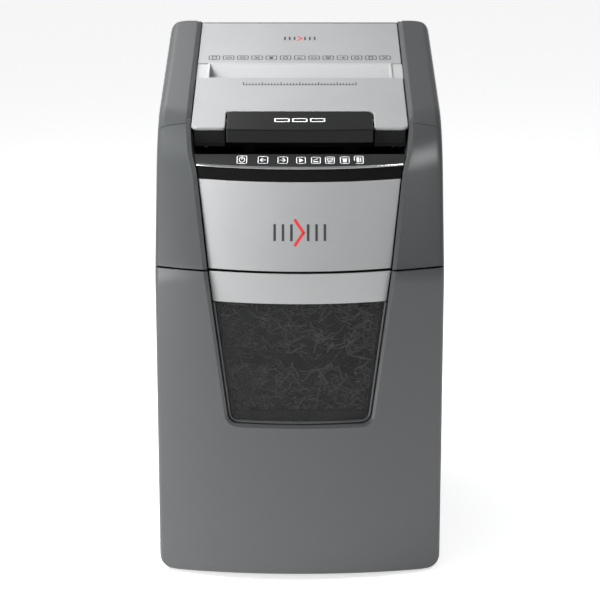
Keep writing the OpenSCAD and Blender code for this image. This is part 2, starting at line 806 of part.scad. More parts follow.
// ---------------------------------------------------------------- lid
notch = 91.5;
notch_y = yf + 158.5;
panel_y0 = yf + 111;
slot_y0 = yf + 262;
slot_y1 = yf + 310;
module lid_arms() {
    color(dark) difference() {
        intersection() {
            skin(0);
            along_x(-body_w, body_w) lid_side(0.3);
        }
        intersection() {
            skin(shell_t);
            box(-body_w, -panel_half - 2.5, yf, yr, 0, 900);
        }
        intersection() {
            skin(shell_t);
            box(panel_half + 2.5, body_w, yf, yr, 0, 900);
        }
        box(-panel_half, panel_half, yf - 10, yr - 8, 0, 900);
        // the cross bar at the back ends level with the panel
        along_x(-panel_half, panel_half) lid_slab(-80, 0, yr - 9, yr + 30);
        // pockets round the hinge brackets
        both_sides() {
            box(106, 158, hinge_y - 17, hinge_y + 4.5, 0, hinge_z + 5.5);
            for (x = [110, 154]) box(x - 3, x + 3, hinge_y, yr + 1, 0, hinge_z + 5.5);
        }
    }
    color(dark) both_sides() difference() {
        union() {
            rod(114, 150, hinge_y, hinge_z, 2 * hinge_r - 0.6);
            box(114, 150, hinge_y - 3.5, hinge_y + 3.5, hinge_z, hinge_z + 8);
        }
        rod(100, 160, hinge_y, hinge_z, 5 + 2 * run_fit);
    }
}
module lid_rear_panel() {
    color(silver) along_x(-panel_half, panel_half) lid_slab(0, 2.5, slot_y1, yr - 8);
}
module lid_front_panel() {
    color(silver) difference() {
        along_x(-panel_half + 0.8, panel_half - 0.8) lid_slab(0, 2.5, panel_y0, slot_y0);
        box(-notch, notch, yf, notch_y, 0, 900);
    }
}
module slot_throat() {
    zs = lid_z(slot_y0) - 22;
    hx = slot_len / 2;
    color([0.6, 0.61, 0.62]) difference() {
        union() {
            along_x(-hx - 3, hx + 3) polygon([
                [slot_y0, lid_z(slot_y0)], [slot_y1, lid_z(slot_y1)], [slot_y1, lid_z(slot_y1) - 4],
                [cut_y + 7, zs], [cut_y + 7, zs - 16], [cut_y - 7, zs - 16], [cut_y - 7, zs],
                [slot_y0, lid_z(slot_y0) - 4]
            ]);
            along_x(-panel_half, panel_half) lid_slab(1.5, 4, slot_y0, slot_y1);
        }
        along_x(-hx, hx) polygon([
            [slot_y0 + 1.5, lid_z(slot_y0) + 9], [slot_y0 + 1.5, lid_z(slot_y0)], [cut_y - 4.5, zs],
            [cut_y - 4.5, zs - 20], [cut_y + 4.5, zs - 20], [cut_y + 4.5, zs],
            [slot_y1 - 2.5, lid_z(slot_y1) - 1.5], [slot_y1 - 2.5, lid_z(slot_y1) + 9]
        ]);
    }
}
module lid_liner() {
    x1 = 129.5;
    color(black) difference() {
        union() {
            along_x(-panel_half, panel_half) lid_slab(lid_t - 4, lid_t - 1.5, notch_y + 3, yr - 8);
            along_x(-x1, x1) lid_slab(lid_t - 4, lid_t - 1.5, panel_y0 + 4, notch_y + 3);
            intersection() {
                up([[-x1, panel_y0 + 4], [-notch - 0.5, panel_y0 + 4], [-notch - 0.5, notch_y + 0.5],
                    [notch + 0.5, notch_y + 0.5], [notch + 0.5, panel_y0 + 4], [x1, panel_y0 + 4],
                    [x1, panel_y0 + 6.5], [notch + 3, panel_y0 + 6.5], [notch + 3, notch_y + 3],
                    [-notch - 3, notch_y + 3], [-notch - 3, panel_y0 + 6.5], [-x1, panel_y0 + 6.5]],
                    key_z + 13, 900);
                along_x(-200, 200) lid_slab(2.5, 200, yf, yr);
            }
        }
        box(-notch - 0.5, notch + 0.5, yf, notch_y + 0.5, 0, 900);
        box(-slot_len / 2 - 3, slot_len / 2 + 3, cut_y - 12, cut_y + 20, 0, 900);
        both_sides() box(105, 160, hinge_y - 17, yr, 0, 900);
        rod(-120, 120, piv_y, piv_z, 5);
    }
}
module latch_axle() {
    color(steel) rod(-notch - 3, notch + 3, piv_y, piv_z, 5);
}
module latch_spring() {
    color(steel) for (x = [-24, 24]) {
        for (k = [0:4]) translate([x + k * 1.6 - 3.2, piv_y, piv_z]) rotate([0, 90, 0])
            rotate_extrude($fn = 24) translate([3.3, 0]) circle(d = 1.4, $fn = 8);
        box(x - 0.7, x + 0.7, piv_y + 3, notch_y + 0.5, piv_z - 0.7, piv_z + 0.7);
    }
}
hand_y0 = yf + 101;
hand_r = 1600;
module handle_2d(i) {
    offset(delta = -i) intersection() {
        offset(r = 5) offset(delta = -5) translate([-90, hand_y0 - 30])
            square([180, notch_y - 1.7 - hand_y0 + 30]);
        polygon(concat(arc(0, hand_y0 + hand_r, hand_r, -4.3, 4.3, 16),
            [[120, notch_y + 40], [-120, notch_y + 40]]));
    }
}
module handle() {
    color(black) {
        difference() {
            intersection() {
                translate([0, 0, key_z + 15.5]) linear_extrude(90) handle_2d(0);
                along_x(-200, 200) lid_slab(-1, 200, yf, yr);
            }
            intersection() {
                translate([0, 0, 300]) linear_extrude(500) handle_2d(3);
                along_x(-200, 200) lid_slab(2.5, 200, yf, yr);
            }
            rod(-120, 120, piv_y, piv_z, 5 + 2 * run_fit);
            for (x = [-24, 24]) box(x - 1.2, x + 1.2, piv_y + 3, notch_y, piv_z - 1.2, piv_z + 3.2);
        }
        for (x = [-87.5, -58.5, 55.5, 84.5]) along_x(x, x + 3) difference() {
            polygon([[piv_y - 5, piv_z - 5], [piv_y + 5, piv_z - 5], [piv_y + 5, lid_z(piv_y + 5) - 2.5],
                [piv_y - 25, lid_z(piv_y - 25) - 2.5]]);
            translate([piv_y, piv_z]) circle(d = 5 + 2 * run_fit);
        }
    }
}
module latch_hooks() {
    color(steel) both_sides() along_x(58.5, 61.5) difference() {
        polygon([[piv_y - 5, piv_z + 3], [piv_y + 5, piv_z + 3], [piv_y + 4, key_z + 9],
            [piv_y - 1, key_z + 3], [piv_y - 5, key_z + 3]]);
        translate([piv_y, piv_z]) circle(d = 5 + 2 * run_fit);
    }
}
plate_y0 = yf + 200;
plate_y1 = cut_y - 16;
piv_p = [plate_y0 + 6, lid_z(plate_y0) - lid_t - 0.5];
plate_drop = 12;
// turns the plate and its pads down onto the stack
module lowered() {
    translate([0, piv_p[0], piv_p[1]]) rotate([-plate_drop, 0, 0])
        translate([0, -piv_p[0], -piv_p[1]]) children();
}
module pressure_plate() {
    color([0.3, 0.3, 0.32]) lowered() difference() {
        union() {
            along_x(-100, 100) lid_slab(lid_t + 2, lid_t + 4.5, plate_y0, plate_y1);
            along_x(-100, 100) polygon([
                [plate_y1 - 1, lid_z(plate_y1 - 1) - lid_t - 2],
                [plate_y1 - 1, lid_z(plate_y1 - 1) - lid_t - 4.5],
                [plate_y1 + 4, lid_z(plate_y1) - lid_t - 2.5], [plate_y1 + 4, lid_z(plate_y1) - lid_t]
            ]);
            both_sides() rod(88, 100, piv_p[0], piv_p[1], 6.4);
        }
        rod(-120, 120, piv_p[0], piv_p[1], 3 + 2 * run_fit);
    }
}
module separation_pads() {
    color([0.45, 0.12, 0.1]) lowered() for (x = [-30, 30])
        along_x(x - 12, x + 12) lid_slab(lid_t + 4.5, lid_t + 6.5, plate_y1 - 40, plate_y1 - 6);
}
module plate_pivots() {
    color(steel) both_sides() {
        rod(89, 106, piv_p[0], piv_p[1], 3);
        along_x(102, 105) polygon([[piv_p[0] - 4, piv_p[1] - 3], [piv_p[0] + 4, piv_p[1] - 3],
            [piv_p[0] + 4, lid_z(piv_p[0] + 4) - lid_t + 1.5],
            [piv_p[0] - 4, lid_z(piv_p[0] - 4) - lid_t + 1.5]]);
    }
}
base_tray();
rubber_feet();
cabinet_shell();
bin_rails();
deck();
head_housing();
front_panel();
gloss_band();
trim_line();
control_panel();
lamp_lenses();
control_board();
recess_panel();
paper_tray();
entry_guides();
cutter_plates();
tie_rods();
bushings();
stripper_combs();
motor();
sensors();
power_board();
mains_inlet();
rocker_frame();
door_switch();
hinge_pins();
case_screws();
bin_cover();
bin_strip();
window();
window_rim();
bin_bucket();
power_key();
reverse_key();
forward_key();
rocker();
door_plunger();
cutter_shaft_front();
cutter_discs_front();
cutter_gear_front();
cutter_shaft_rear();
cutter_discs_rear();
rear_gears();
reduction_gear();
motor_pinion();
feed_shaft();
feed_tyres();
feed_gear();
lid_arms();
lid_rear_panel();
lid_front_panel();
slot_throat();
lid_liner();
latch_axle();
latch_spring();
plate_pivots();
handle();
latch_hooks();
pressure_plate();
separation_pads();
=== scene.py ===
# %% [markdown]
# # An office paper shredder, finished in Blender
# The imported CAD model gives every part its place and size. This lesson keeps that frame, swaps the moulded
# outer shells for smoother ones made from the same rules, and gives every part a finish.

# %% Load the frame
import math
import json

import bpy
import bmesh
from mathutils import Vector, Matrix


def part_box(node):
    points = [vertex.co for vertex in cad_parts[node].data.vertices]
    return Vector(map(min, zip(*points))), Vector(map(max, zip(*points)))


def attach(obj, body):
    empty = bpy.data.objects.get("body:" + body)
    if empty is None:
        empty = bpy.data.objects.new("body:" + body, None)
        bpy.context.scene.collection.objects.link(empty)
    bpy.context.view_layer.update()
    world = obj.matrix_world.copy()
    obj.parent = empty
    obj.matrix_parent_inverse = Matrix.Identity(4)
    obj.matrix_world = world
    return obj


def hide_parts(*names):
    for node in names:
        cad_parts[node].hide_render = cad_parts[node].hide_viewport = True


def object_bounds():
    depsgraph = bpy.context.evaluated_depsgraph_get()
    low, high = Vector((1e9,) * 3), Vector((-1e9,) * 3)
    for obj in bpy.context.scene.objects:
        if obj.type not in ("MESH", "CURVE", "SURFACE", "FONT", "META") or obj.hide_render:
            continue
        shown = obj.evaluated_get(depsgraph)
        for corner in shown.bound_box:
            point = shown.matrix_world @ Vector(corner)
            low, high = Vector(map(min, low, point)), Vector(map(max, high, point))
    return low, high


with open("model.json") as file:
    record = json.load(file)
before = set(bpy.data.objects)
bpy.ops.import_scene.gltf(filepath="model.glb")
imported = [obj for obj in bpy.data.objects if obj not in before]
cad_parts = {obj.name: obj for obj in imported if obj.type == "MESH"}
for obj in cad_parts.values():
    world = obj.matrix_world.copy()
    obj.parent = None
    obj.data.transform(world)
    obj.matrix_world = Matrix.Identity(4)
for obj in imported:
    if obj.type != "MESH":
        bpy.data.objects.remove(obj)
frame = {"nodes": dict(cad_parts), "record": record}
cad_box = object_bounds()
nodes = frame["nodes"]
print("parts:", len(nodes), "box:", [round(v, 4) for v in (*cad_box[0], *cad_box[1])])

# %% [markdown]
# Every size below is read from the parts themselves, so a changed part moves its finish with it.
# Millimetres are easier to think in for a moulded case, so `mm` turns them into metres.

# %% Sizes read from the parts
mm = 0.001
front_y, back_y = cad_box[0].y, cad_box[1].y
half_w = cad_box[1].x
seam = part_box("head_housing")[0].z - 1 * mm
panel_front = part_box("bin_strip")[0].y
strip_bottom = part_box("bin_strip")[0].z
window_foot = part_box("window_rim")[0].z
panel_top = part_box("front_panel")[1].z
trim_z = (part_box("trim_line")[0].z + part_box("trim_line")[1].z) / 2
cover_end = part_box("bin_cover")[1].y
lid_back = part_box("lid_rear_panel")[1]
panel_half = lid_back.x
bow, panel_bow = 420 * mm, 350 * mm
lean, panel_lean, slope = math.radians(24), math.radians(22), math.radians(15)
shell = 3 * mm
foot_half, foot_turn = 88 * mm, 13 * mm  # half width and corner radius of the window's foot
foot_flat = foot_half - foot_turn
print("seam", round(seam, 4), "trim", round(trim_z, 4), "lid edge", round(lid_back.z, 4))


def lid_z(y):
    """Height of the lid panel's face at depth y."""
    return lid_back.z - (lid_back.y - y) * math.tan(slope)


arm_rise = cad_box[1].z + 14 * mm * (math.tan(slope) + 1 / math.cos(slope) - 1) - lid_z(back_y)
print("arms stand", round(arm_rise / mm, 2), "mm above the lid panel")


def panel_y(x, z, inset=0.0):
    """Depth of the recessed front: upright below the seam, leaning back above it."""
    s = panel_bow - math.sqrt((panel_bow - inset) ** 2 - x * x)
    if z <= seam:
        return panel_front + s
    return panel_front + s / math.cos(panel_lean) + (z - seam) * math.tan(panel_lean)


column_line = [
    (window_foot + foot_turn, foot_half), (seam, 111 * mm), (panel_top + 8 * mm, 125 * mm),
    (panel_top + 29 * mm, 131 * mm), (panel_top + 54 * mm, panel_half), (1.0, panel_half),
]


def column_half(z):
    """Half width of the recessed column at height z."""
    for (z0, w0), (z1, w1) in zip(column_line, column_line[1:]):
        if z <= z1:
            return w0 + (w1 - w0) * max(0.0, z - z0) / (z1 - z0)
    return panel_half


# %% [markdown]
# ## Camera, light and floor
# The shredder stands on a pale floor under large soft lamps, seen from slightly above with a long lens, so
# its upright edges stay nearly parallel.

# %% Camera
scene = bpy.context.scene
scene.view_settings.view_transform = "Standard"
cam = bpy.data.objects.new("camera", bpy.data.cameras.new("camera"))
scene.collection.objects.link(cam)
cam.location = (0.0003, front_y - 2.3845, 0.9519)
cam_drop = 14  # degrees below the horizon
cam.rotation_euler = (math.radians(90 - cam_drop), 0, 0)
cam.data.lens, cam.data.sensor_width = 123.6, 36
cam.data.clip_end = 50
scene.camera = cam
print("camera lens", round(cam.data.lens, 1), "mm, looking down", cam_drop, "degrees")

# %% Floor and lamps
def lamp(name, place, aim, size, power):
    data = bpy.data.lights.new(name, "AREA")
    data.shape, data.size, data.size_y, data.energy = "RECTANGLE", size[0], size[1], power
    o = bpy.data.objects.new(name, data)
    o.location = place
    o.rotation_euler = (Vector(aim) - Vector(place)).to_track_quat("-Z", "Y").to_euler()
    scene.collection.objects.link(o)
    return o


world = bpy.data.worlds.new("studio")
scene.world = world
world.use_nodes = True
wn, wl = world.node_tree.nodes, world.node_tree.links.new
where, split, ramp = (wn.new("ShaderNode" + kind) for kind in ("TexCoord", "SeparateXYZ", "ValToRGB"))
wl(where.outputs["Generated"], split.inputs[0])
wl(split.outputs["Z"], ramp.inputs[0])
wl(ramp.outputs[0], wn["Background"].inputs["Color"])
ramp.color_ramp.elements[0].position, ramp.color_ramp.elements[0].color = 0.0, (1, 1, 1, 1)
ramp.color_ramp.elements[1].position, ramp.color_ramp.elements[1].color = 1.0, (0.42, 0.43, 0.45, 1)
for place, value in ((0.02, 0.9), (0.2, 0.42), (0.45, 0.3), (0.8, 0.24)):
    e = ramp.color_ramp.elements.new(place)
    e.color = (value, value, value, 1)
wn["Background"].inputs["Strength"].default_value = 0.95
lamp("left_window", (-2.6, -1.7, 0.7), (0, 0, 0.3), (1.2, 1.5), 42)
lamp("left_top", (-0.75, -0.15, 1.3), (0, 0.02, 0.6), (0.6, 0.6), 30).visible_glossy = False
lamp("back_strip", (-0.9, 1.7, 2.1), (-0.1, 0, 0.6), (1.4, 0.5), 5)
lamp("right_shoulder", (1.5, -1.0, 2.1), (0.1, 0, 0.5), (0.45, 0.6), 12)
lamp("front_fill", (-0.6, -2.6, 1.9), (0, 0, 0.3), (2.4, 1.2), 7).visible_glossy = False
floor_mesh = bpy.data.meshes.new("floor")
floor_mesh.from_pydata([(-8, -8, 0), (8, -8, 0), (8, 8, 0), (-8, 8, 0)], [], [(0, 1, 2, 3)])
floor = bpy.data.objects.new("floor", floor_mesh)
scene.collection.objects.link(floor)

# %% [markdown]
# ## Finishes
# A moulded case is never one flat colour: spark-eroded moulds leave a fine grain, and handling polishes it
# in patches. One node group makes that grain for every plastic, and each material places it with its own
# size.

# %% The grain group
def make_grain():
    g = bpy.data.node_groups.new("moulded_grain", "ShaderNodeTree")
    for name, kind, value in (("Scale", "NodeSocketFloat", 900.0),
                              ("Colour", "NodeSocketColor", (0.5, 0.5, 0.5, 1)),
                              ("Spread", "NodeSocketFloat", 0.06), ("Roughness", "NodeSocketFloat", 0.5)):
        s = g.interface.new_socket(name=name, in_out="INPUT", socket_type=kind)
        s.default_value = value
    for name, kind in (("Colour", "NodeSocketColor"), ("Roughness", "NodeSocketFloat"),
                       ("Height", "NodeSocketFloat")):
        g.interface.new_socket(name=name, in_out="OUTPUT", socket_type=kind)
    n, link = g.nodes, g.links.new
    gin, gout = n.new("NodeGroupInput"), n.new("NodeGroupOutput")
    where = n.new("ShaderNodeTexCoord")
    fine, broad, spark = (n.new("ShaderNodeTex" + kind) for kind in ("Noise", "Noise", "Voronoi"))
    broad.inputs["Scale"].default_value = 14
    broad.inputs["Detail"].default_value = 4
    fine.inputs["Detail"].default_value = 2
    for t in (fine, broad, spark):
        link(where.outputs["Object"], t.inputs["Vector"])
    link(gin.outputs["Scale"], fine.inputs["Scale"])
    link(gin.outputs["Scale"], spark.inputs["Scale"])

    def maths(op, a, b):
        m = n.new("ShaderNodeMath")
        m.operation = op
        for k, v in enumerate((a, b)):
            if isinstance(v, (int, float)):
                m.inputs[k].default_value = v
            else:
                link(v, m.inputs[k])
        return m.outputs[0]

    both = maths("ADD", maths("MULTIPLY", fine.outputs["Fac"], 0.6),
                 maths("MULTIPLY", broad.outputs["Fac"], 0.4))
    swing = maths("MULTIPLY", maths("SUBTRACT", both, 0.5), gin.outputs["Spread"])
    tint = n.new("ShaderNodeVectorMath")
    tint.operation = "SCALE"
    link(gin.outputs["Colour"], tint.inputs[0])
    link(maths("ADD", maths("MULTIPLY", swing, 2.0), 1.0), tint.inputs["Scale"])
    link(tint.outputs[0], gout.inputs["Colour"])
    link(maths("ADD", gin.outputs["Roughness"], maths("MULTIPLY", swing, 1.2)), gout.inputs["Roughness"])
    link(maths("ADD", maths("MULTIPLY", spark.outputs["Distance"], 0.5), fine.outputs["Fac"]),
         gout.inputs["Height"])
    return g


grain = make_grain()
print("grain group:", [s.name for s in grain.interface.items_tree])

# %% A finish from the grain
def finish(name, colour, rough, scale=900, spread=0.06, bump=0.08, metallic=0.0, coat=0.0, coat_rough=0.05,
           alpha=1.0, ior=1.5, specular=0.5, transmission=0.0):
    m = bpy.data.materials.new(name)
    m.use_nodes = True
    tree = m.node_tree
    bsdf = tree.nodes["Principled BSDF"]
    g = tree.nodes.new("ShaderNodeGroup")
    g.node_tree = grain
    g.inputs["Scale"].default_value = scale
    g.inputs["Colour"].default_value = (*colour, 1)
    g.inputs["Spread"].default_value = spread
    g.inputs["Roughness"].default_value = rough
    b = tree.nodes.new("ShaderNodeBump")
    b.inputs["Strength"].default_value = bump
    b.inputs["Distance"].default_value = 0.0002
    tree.links.new(g.outputs["Colour"], bsdf.inputs["Base Color"])
    tree.links.new(g.outputs["Roughness"], bsdf.inputs["Roughness"])
    tree.links.new(g.outputs["Height"], b.inputs["Height"])
    tree.links.new(b.outputs["Normal"], bsdf.inputs["Normal"])
    bsdf.inputs["Metallic"].default_value = metallic
    bsdf.inputs["Coat Weight"].default_value = coat
    bsdf.inputs["Coat Roughness"].default_value = coat_rough
    bsdf.inputs["Alpha"].default_value = alpha
    bsdf.inputs["IOR"].default_value = ior
    bsdf.inputs["Specular IOR Level"].default_value = specular
    bsdf.inputs["Transmission Weight"].default_value = transmission
    return m


mat = {
    "dark_plastic": finish("grey_moulding", (0.046, 0.0487, 0.0508), 0.33, 1100, 0.08, 0.12, specular=0.58),
    "black_plastic": finish("black_moulding", (0.0075, 0.0075, 0.0078), 0.5, 1000, 0.1, 0.12, specular=0.18),
    "handle_plastic": finish("handle_satin", (0.006, 0.0062, 0.0064), 0.3, 1300, 0.08, 0.06, specular=0.24),
    "strip_plastic": finish("strip_satin", (0.017, 0.017, 0.0175), 0.34, 1300, 0.08, 0.04, specular=0.25),
    "silver_paint": finish("silver_paint", (0.315, 0.32, 0.324), 0.42, 2600, 0.16, 0.05, metallic=0.25,
                           coat=0.1, coat_rough=0.3),
    "silver_trim": finish("bright_trim", (0.75, 0.76, 0.77), 0.16, 500, 0.03, 0.01, metallic=1.0),
    "gloss_black": finish("gloss_band", (0.005, 0.005, 0.0052), 0.1, 300, 0.05, 0.01, coat=0.1,
                          coat_rough=0.03, specular=0.12),
    "smoked_clear": finish("smoked_window", (0.018, 0.0185, 0.0185), 0.2, 200, 0.05, 0.0, alpha=0.42,
                           specular=0.25),
    "bin_plastic": finish("bin_moulding", (0.035, 0.036, 0.037), 0.5, 900, 0.1, 0.1),
    "rubber": finish("black_rubber", (0.018, 0.018, 0.018), 0.8, 700, 0.15, 0.3),
    "steel": finish("plated_steel", (0.55, 0.56, 0.57), 0.32, 400, 0.1, 0.05, metallic=1.0),
    "cutter_steel": finish("ground_steel", (0.40, 0.40, 0.41), 0.38, 900, 0.16, 0.1, metallic=1.0),
    "bronze": finish("sintered_bronze", (0.50, 0.33, 0.14), 0.45, 1500, 0.2, 0.2, metallic=1.0),
    "motor_steel": finish("motor_enamel", (0.03, 0.03, 0.033), 0.35, 500, 0.1, 0.05, coat=0.3),
    "throat_white": finish("pale_moulding", (0.33, 0.333, 0.336), 0.45, 1100, 0.05, 0.05),
    "gear_plastic": finish("natural_nylon", (0.66, 0.65, 0.6), 0.42, 600, 0.05, 0.05),
    "board": finish("solder_resist", (0.015, 0.11, 0.045), 0.3, 350, 0.25, 0.1, coat=0.4),
    "lens": finish("lamp_lens", (0.018, 0.018, 0.0185), 0.3, 800, 0.04, 0.02),
    "red_plastic": finish("red_rocker", (0.42, 0.02, 0.015), 0.3, 600, 0.05, 0.04),
    "paper": finish("white_paper", (0.42, 0.42, 0.415), 0.7, 500, 0.1, 0.1),
    "print_dark": finish("dark_print", (0.03, 0.031, 0.033), 0.5, 700, 0.05, 0.02),
    "print_light": finish("light_print", (0.72, 0.73, 0.74), 0.5, 700, 0.03, 0.02),
    "print_red": finish("red_print", (0.55, 0.02, 0.02), 0.5, 700, 0.03, 0.02),
    # black moulding made darker still and almost without shine: painted shade for the deep finger recess
    "recess_black_painted_shade": finish("recess_black_painted_shade", (0.004, 0.004, 0.0042), 0.6, 900, 0.08, 0.05, specular=0.06),
    "floor": finish("pale_floor", (0.93, 0.93, 0.93), 0.6, 60, 0.01, 0.0),
}
floor_glow = 0.62  # the floor is a lit white sweep
floor.data.materials.append(mat["floor"])
glow = mat["floor"].node_tree.nodes["Principled BSDF"]
glow.inputs["Emission Color"].default_value = (1, 1, 1, 1)
glow.inputs["Emission Strength"].default_value = floor_glow
slots = {s["node"]: s["material_slot"] for s in frame["record"]["subparts"]}
for name, o in nodes.items():
    o.data.materials.clear()
    o.data.materials.append(mat[slots[name]])
# the finger recess wall is black moulding with painted shade: darker than the black moulding, standing in for
# the shade that falls in the recess
nodes["recess_panel"].data.materials[0] = mat["recess_black_painted_shade"]
print("finishes:", len(mat))

# %% [markdown]
# ## Softening the CAD parts
# CAD edges are knife-sharp, and real ones are not: each has a small radius that catches a line of light. A
# weld joins the loose triangles and a bevel limited to sharp corners rounds them, without touching the mesh
# itself.

# %% Edge radii on the kept parts
def soften(o, width, segments=2, angle=38):
    """Rounds the edges of a CAD part that stays, with live modifiers only."""
    weld = o.modifiers.new("weld", "WELD")
    weld.merge_threshold = 0.00002
    bevel = o.modifiers.new("edge_radius", "BEVEL")
    bevel.width, bevel.segments, bevel.limit_method = width, segments, "ANGLE"
    bevel.angle_limit = math.radians(angle)


for name in ("base_tray", "cabinet_shell", "bin_bucket", "lid_liner", "recess_panel", "mains_inlet",
             "rocker_frame", "rocker",
             "pressure_plate", "deck", "paper_tray"):
    soften(nodes[name], 0.4 * mm)
print("softened: base, cabinet and inner mouldings")

# %% [markdown]
# ## Helpers for moulded shells
# A moulding is easiest to get right as one closed skin that boxes and prisms then cut, the way the real
# case is split along its parting lines. Each helper returns a plain mesh at the origin.

# %% Mesh helpers
def new_piece(name, verts, faces, material, body=None, replaced=(), smooth=34):
    mesh = bpy.data.meshes.new(name)
    mesh.from_pydata([tuple(v) for v in verts], [], faces)
    o = bpy.data.objects.new(name, mesh)
    scene.collection.objects.link(o)
    return dress(o, material, body, replaced, smooth)


def dress(o, material, body=None, replaced=(), smooth=34):
    """Merges doubles, turns the faces outwards, and gives the piece its finish and its body."""
    bm = bmesh.new()
    bm.from_mesh(o.data)
    bmesh.ops.remove_doubles(bm, verts=bm.verts, dist=0.000005)
    bmesh.ops.dissolve_degenerate(bm, edges=bm.edges, dist=0.000005)
    bmesh.ops.recalc_face_normals(bm, faces=bm.faces)
    bm.to_mesh(o.data)
    bm.free()
    if material:
        o.data.materials.clear()
        o.data.materials.append(mat[material])
    o.data.polygons.foreach_set("use_smooth", [True] * len(o.data.polygons))
    o.data.set_sharp_from_angle(angle=math.radians(smooth))
    if body:
        even = o.modifiers.new("even_normals", "WEIGHTED_NORMAL")
        even.keep_sharp = True
        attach(o, body)
        if replaced:
            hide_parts(*replaced)
    return o


def bar_faces(n, base=0, lid_last=False):
    """Faces of a closed bar between two outlines of n points."""
    caps = [tuple(range(base, base + n)), tuple(range(base + 2 * n - 1, base + n - 1, -1))]
    if lid_last:
        caps = [tuple(range(base + n - 1, base - 1, -1)), tuple(range(base + n, base + 2 * n))]
    return caps + [(base + i, base + (i + 1) % n, base + n + (i + 1) % n, base + n + i) for i in range(n)]


def swept_faces(rows, n):
    """Faces of a closed tube made of rings of n points, with both ends capped."""
    sides = [(i * n + j, i * n + (j + 1) % n, (i + 1) * n + (j + 1) % n, (i + 1) * n + j)
             for i in range(rows - 1) for j in range(n)]
    return sides + [tuple(range(n)), tuple(range(rows * n - 1, rows * n - n - 1, -1))]


def slab_faces(cols, rows):
    """Faces of a thin curved plate: a front grid, a back grid and the wall round them."""
    n, layer = cols + 1, (cols + 1) * (rows + 1)
    faces = []
    for j in range(rows):
        for i in range(cols):
            a = j * n + i
            faces.append((a, a + 1, a + n + 1, a + n))
            faces.append((layer + a, layer + a + n, layer + a + n + 1, layer + a + 1))
    rim = list(range(n)) + [j * n + cols for j in range(1, rows + 1)]
    rim += [rows * n + i for i in range(cols - 1, -1, -1)] + [j * n for j in range(rows - 1, 0, -1)]
    return faces + [(a, layer + a, layer + b, b) for a, b in zip(rim, rim[1:] + rim[:1])]


def prism(outline, axis, a, b):
    """A closed bar: outline holds pairs in the two other axes, swept along the axis from a to b."""
    place = {"x": lambda p, t: (t, p[0], p[1]),
             "y": lambda p, t: (p[0], t, p[1]),
             "z": lambda p, t: (p[0], p[1], t)}[axis]
    verts = [place(p, a) for p in outline] + [place(p, b) for p in outline]
    return new_piece("cutter", verts, bar_faces(len(outline)), None)


def block(x0, x1, y0, y1, z0, z1):
    return prism([(x0, y0), (x1, y0), (x1, y1), (x0, y1)], "z", z0, z1)


def baked(o, *live):
    """The object with its modifiers turned into plain mesh, and the cutters thrown away."""
    bpy.context.view_layer.update()
    mesh = bpy.data.meshes.new_from_object(o.evaluated_get(bpy.context.evaluated_depsgraph_get()))
    o.modifiers.clear()
    o.data = mesh
    for c in live:
        bpy.data.objects.remove(c)
    return o


def cut(o, operation, *cutters):
    for c in cutters:
        m = o.modifiers.new("cut", "BOOLEAN")
        m.operation, m.solver, m.object = operation, "EXACT", c
    return baked(o, *cutters)


def edge(o, width, segments=2, angle=40):
    m = o.modifiers.new("edge", "BEVEL")
    m.width, m.segments, m.limit_method, m.angle_limit = width, segments, "ANGLE", math.radians(angle)
    m.use_clamp_overlap = True
    return baked(o)


def joined(name, parts):
    """Several meshes as one piece."""
    bm = bmesh.new()
    for p in parts:
        bm.from_mesh(p.data)
        bpy.data.objects.remove(p)
    mesh = bpy.data.meshes.new(name)
    bm.to_mesh(mesh)
    bm.free()
    o = bpy.data.objects.new(name, mesh)
    scene.collection.objects.link(o)
    return o


# %% [markdown]
# ## The skin of the cabinet
# Seen from the side the case is upright up to the seam, leans back above it, and rolls over a wide shoulder
# into the sloping lid. In plan the front is bowed. So the skin is lofted from side profiles, one at each x.

# %% One side profile
def fillet(p0, p1, p2, r, steps):
    """Points of the arc that rounds the corner p1 between p0 and p2."""
    a, b = (Vector(p0) - Vector(p1)).normalized(), (Vector(p2) - Vector(p1)).normalized()
    half = a.angle(b) / 2
    mid = Vector(p1) + (a + b).normalized() * (r / math.sin(half))
    start = Vector(p1) + a * (r / math.tan(half)) - mid
    turn = math.pi - 2 * half
    end = Vector(p1) + b * (r / math.tan(half)) - mid
    sign = 1 if start.x * end.y - start.y * end.x > 0 else -1
    out = []
    for i in range(steps + 1):
        t = sign * turn * i / steps
        out.append(mid + Vector((start.x * math.cos(t) - start.y * math.sin(t),
                                 start.x * math.sin(t) + start.y * math.cos(t))))
    return out


corner_r, rear_r, brow_r, foot_r, shoulder_r = 8 * mm, 24 * mm, 9 * mm, 16 * mm, 120 * mm
foot_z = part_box("bin_cover")[0].z
foot_lift, foot_sweep, foot_span = 1.9 * mm, 4.4 * mm, 149 * mm  # the lower edge dips towards its ends


def setback(ax, inset=0.0):
    """How far the bowed front has come back at half width ax."""
    cx = half_w - corner_r
    cy = bow - math.sqrt((bow - corner_r) ** 2 - cx ** 2)
    if ax <= cx * bow / (bow - corner_r):
        return bow - math.sqrt((bow - inset) ** 2 - ax ** 2)
    return cy - math.sqrt(max(0.0, (corner_r - inset) ** 2 - (ax - cx) ** 2))


def rounding(ax, r, inset):
    """Depth of an edge rounding of radius r at half width ax."""
    return r - math.sqrt(max(0.0, (r - inset) ** 2 - max(0.0, ax - (half_w - r)) ** 2))


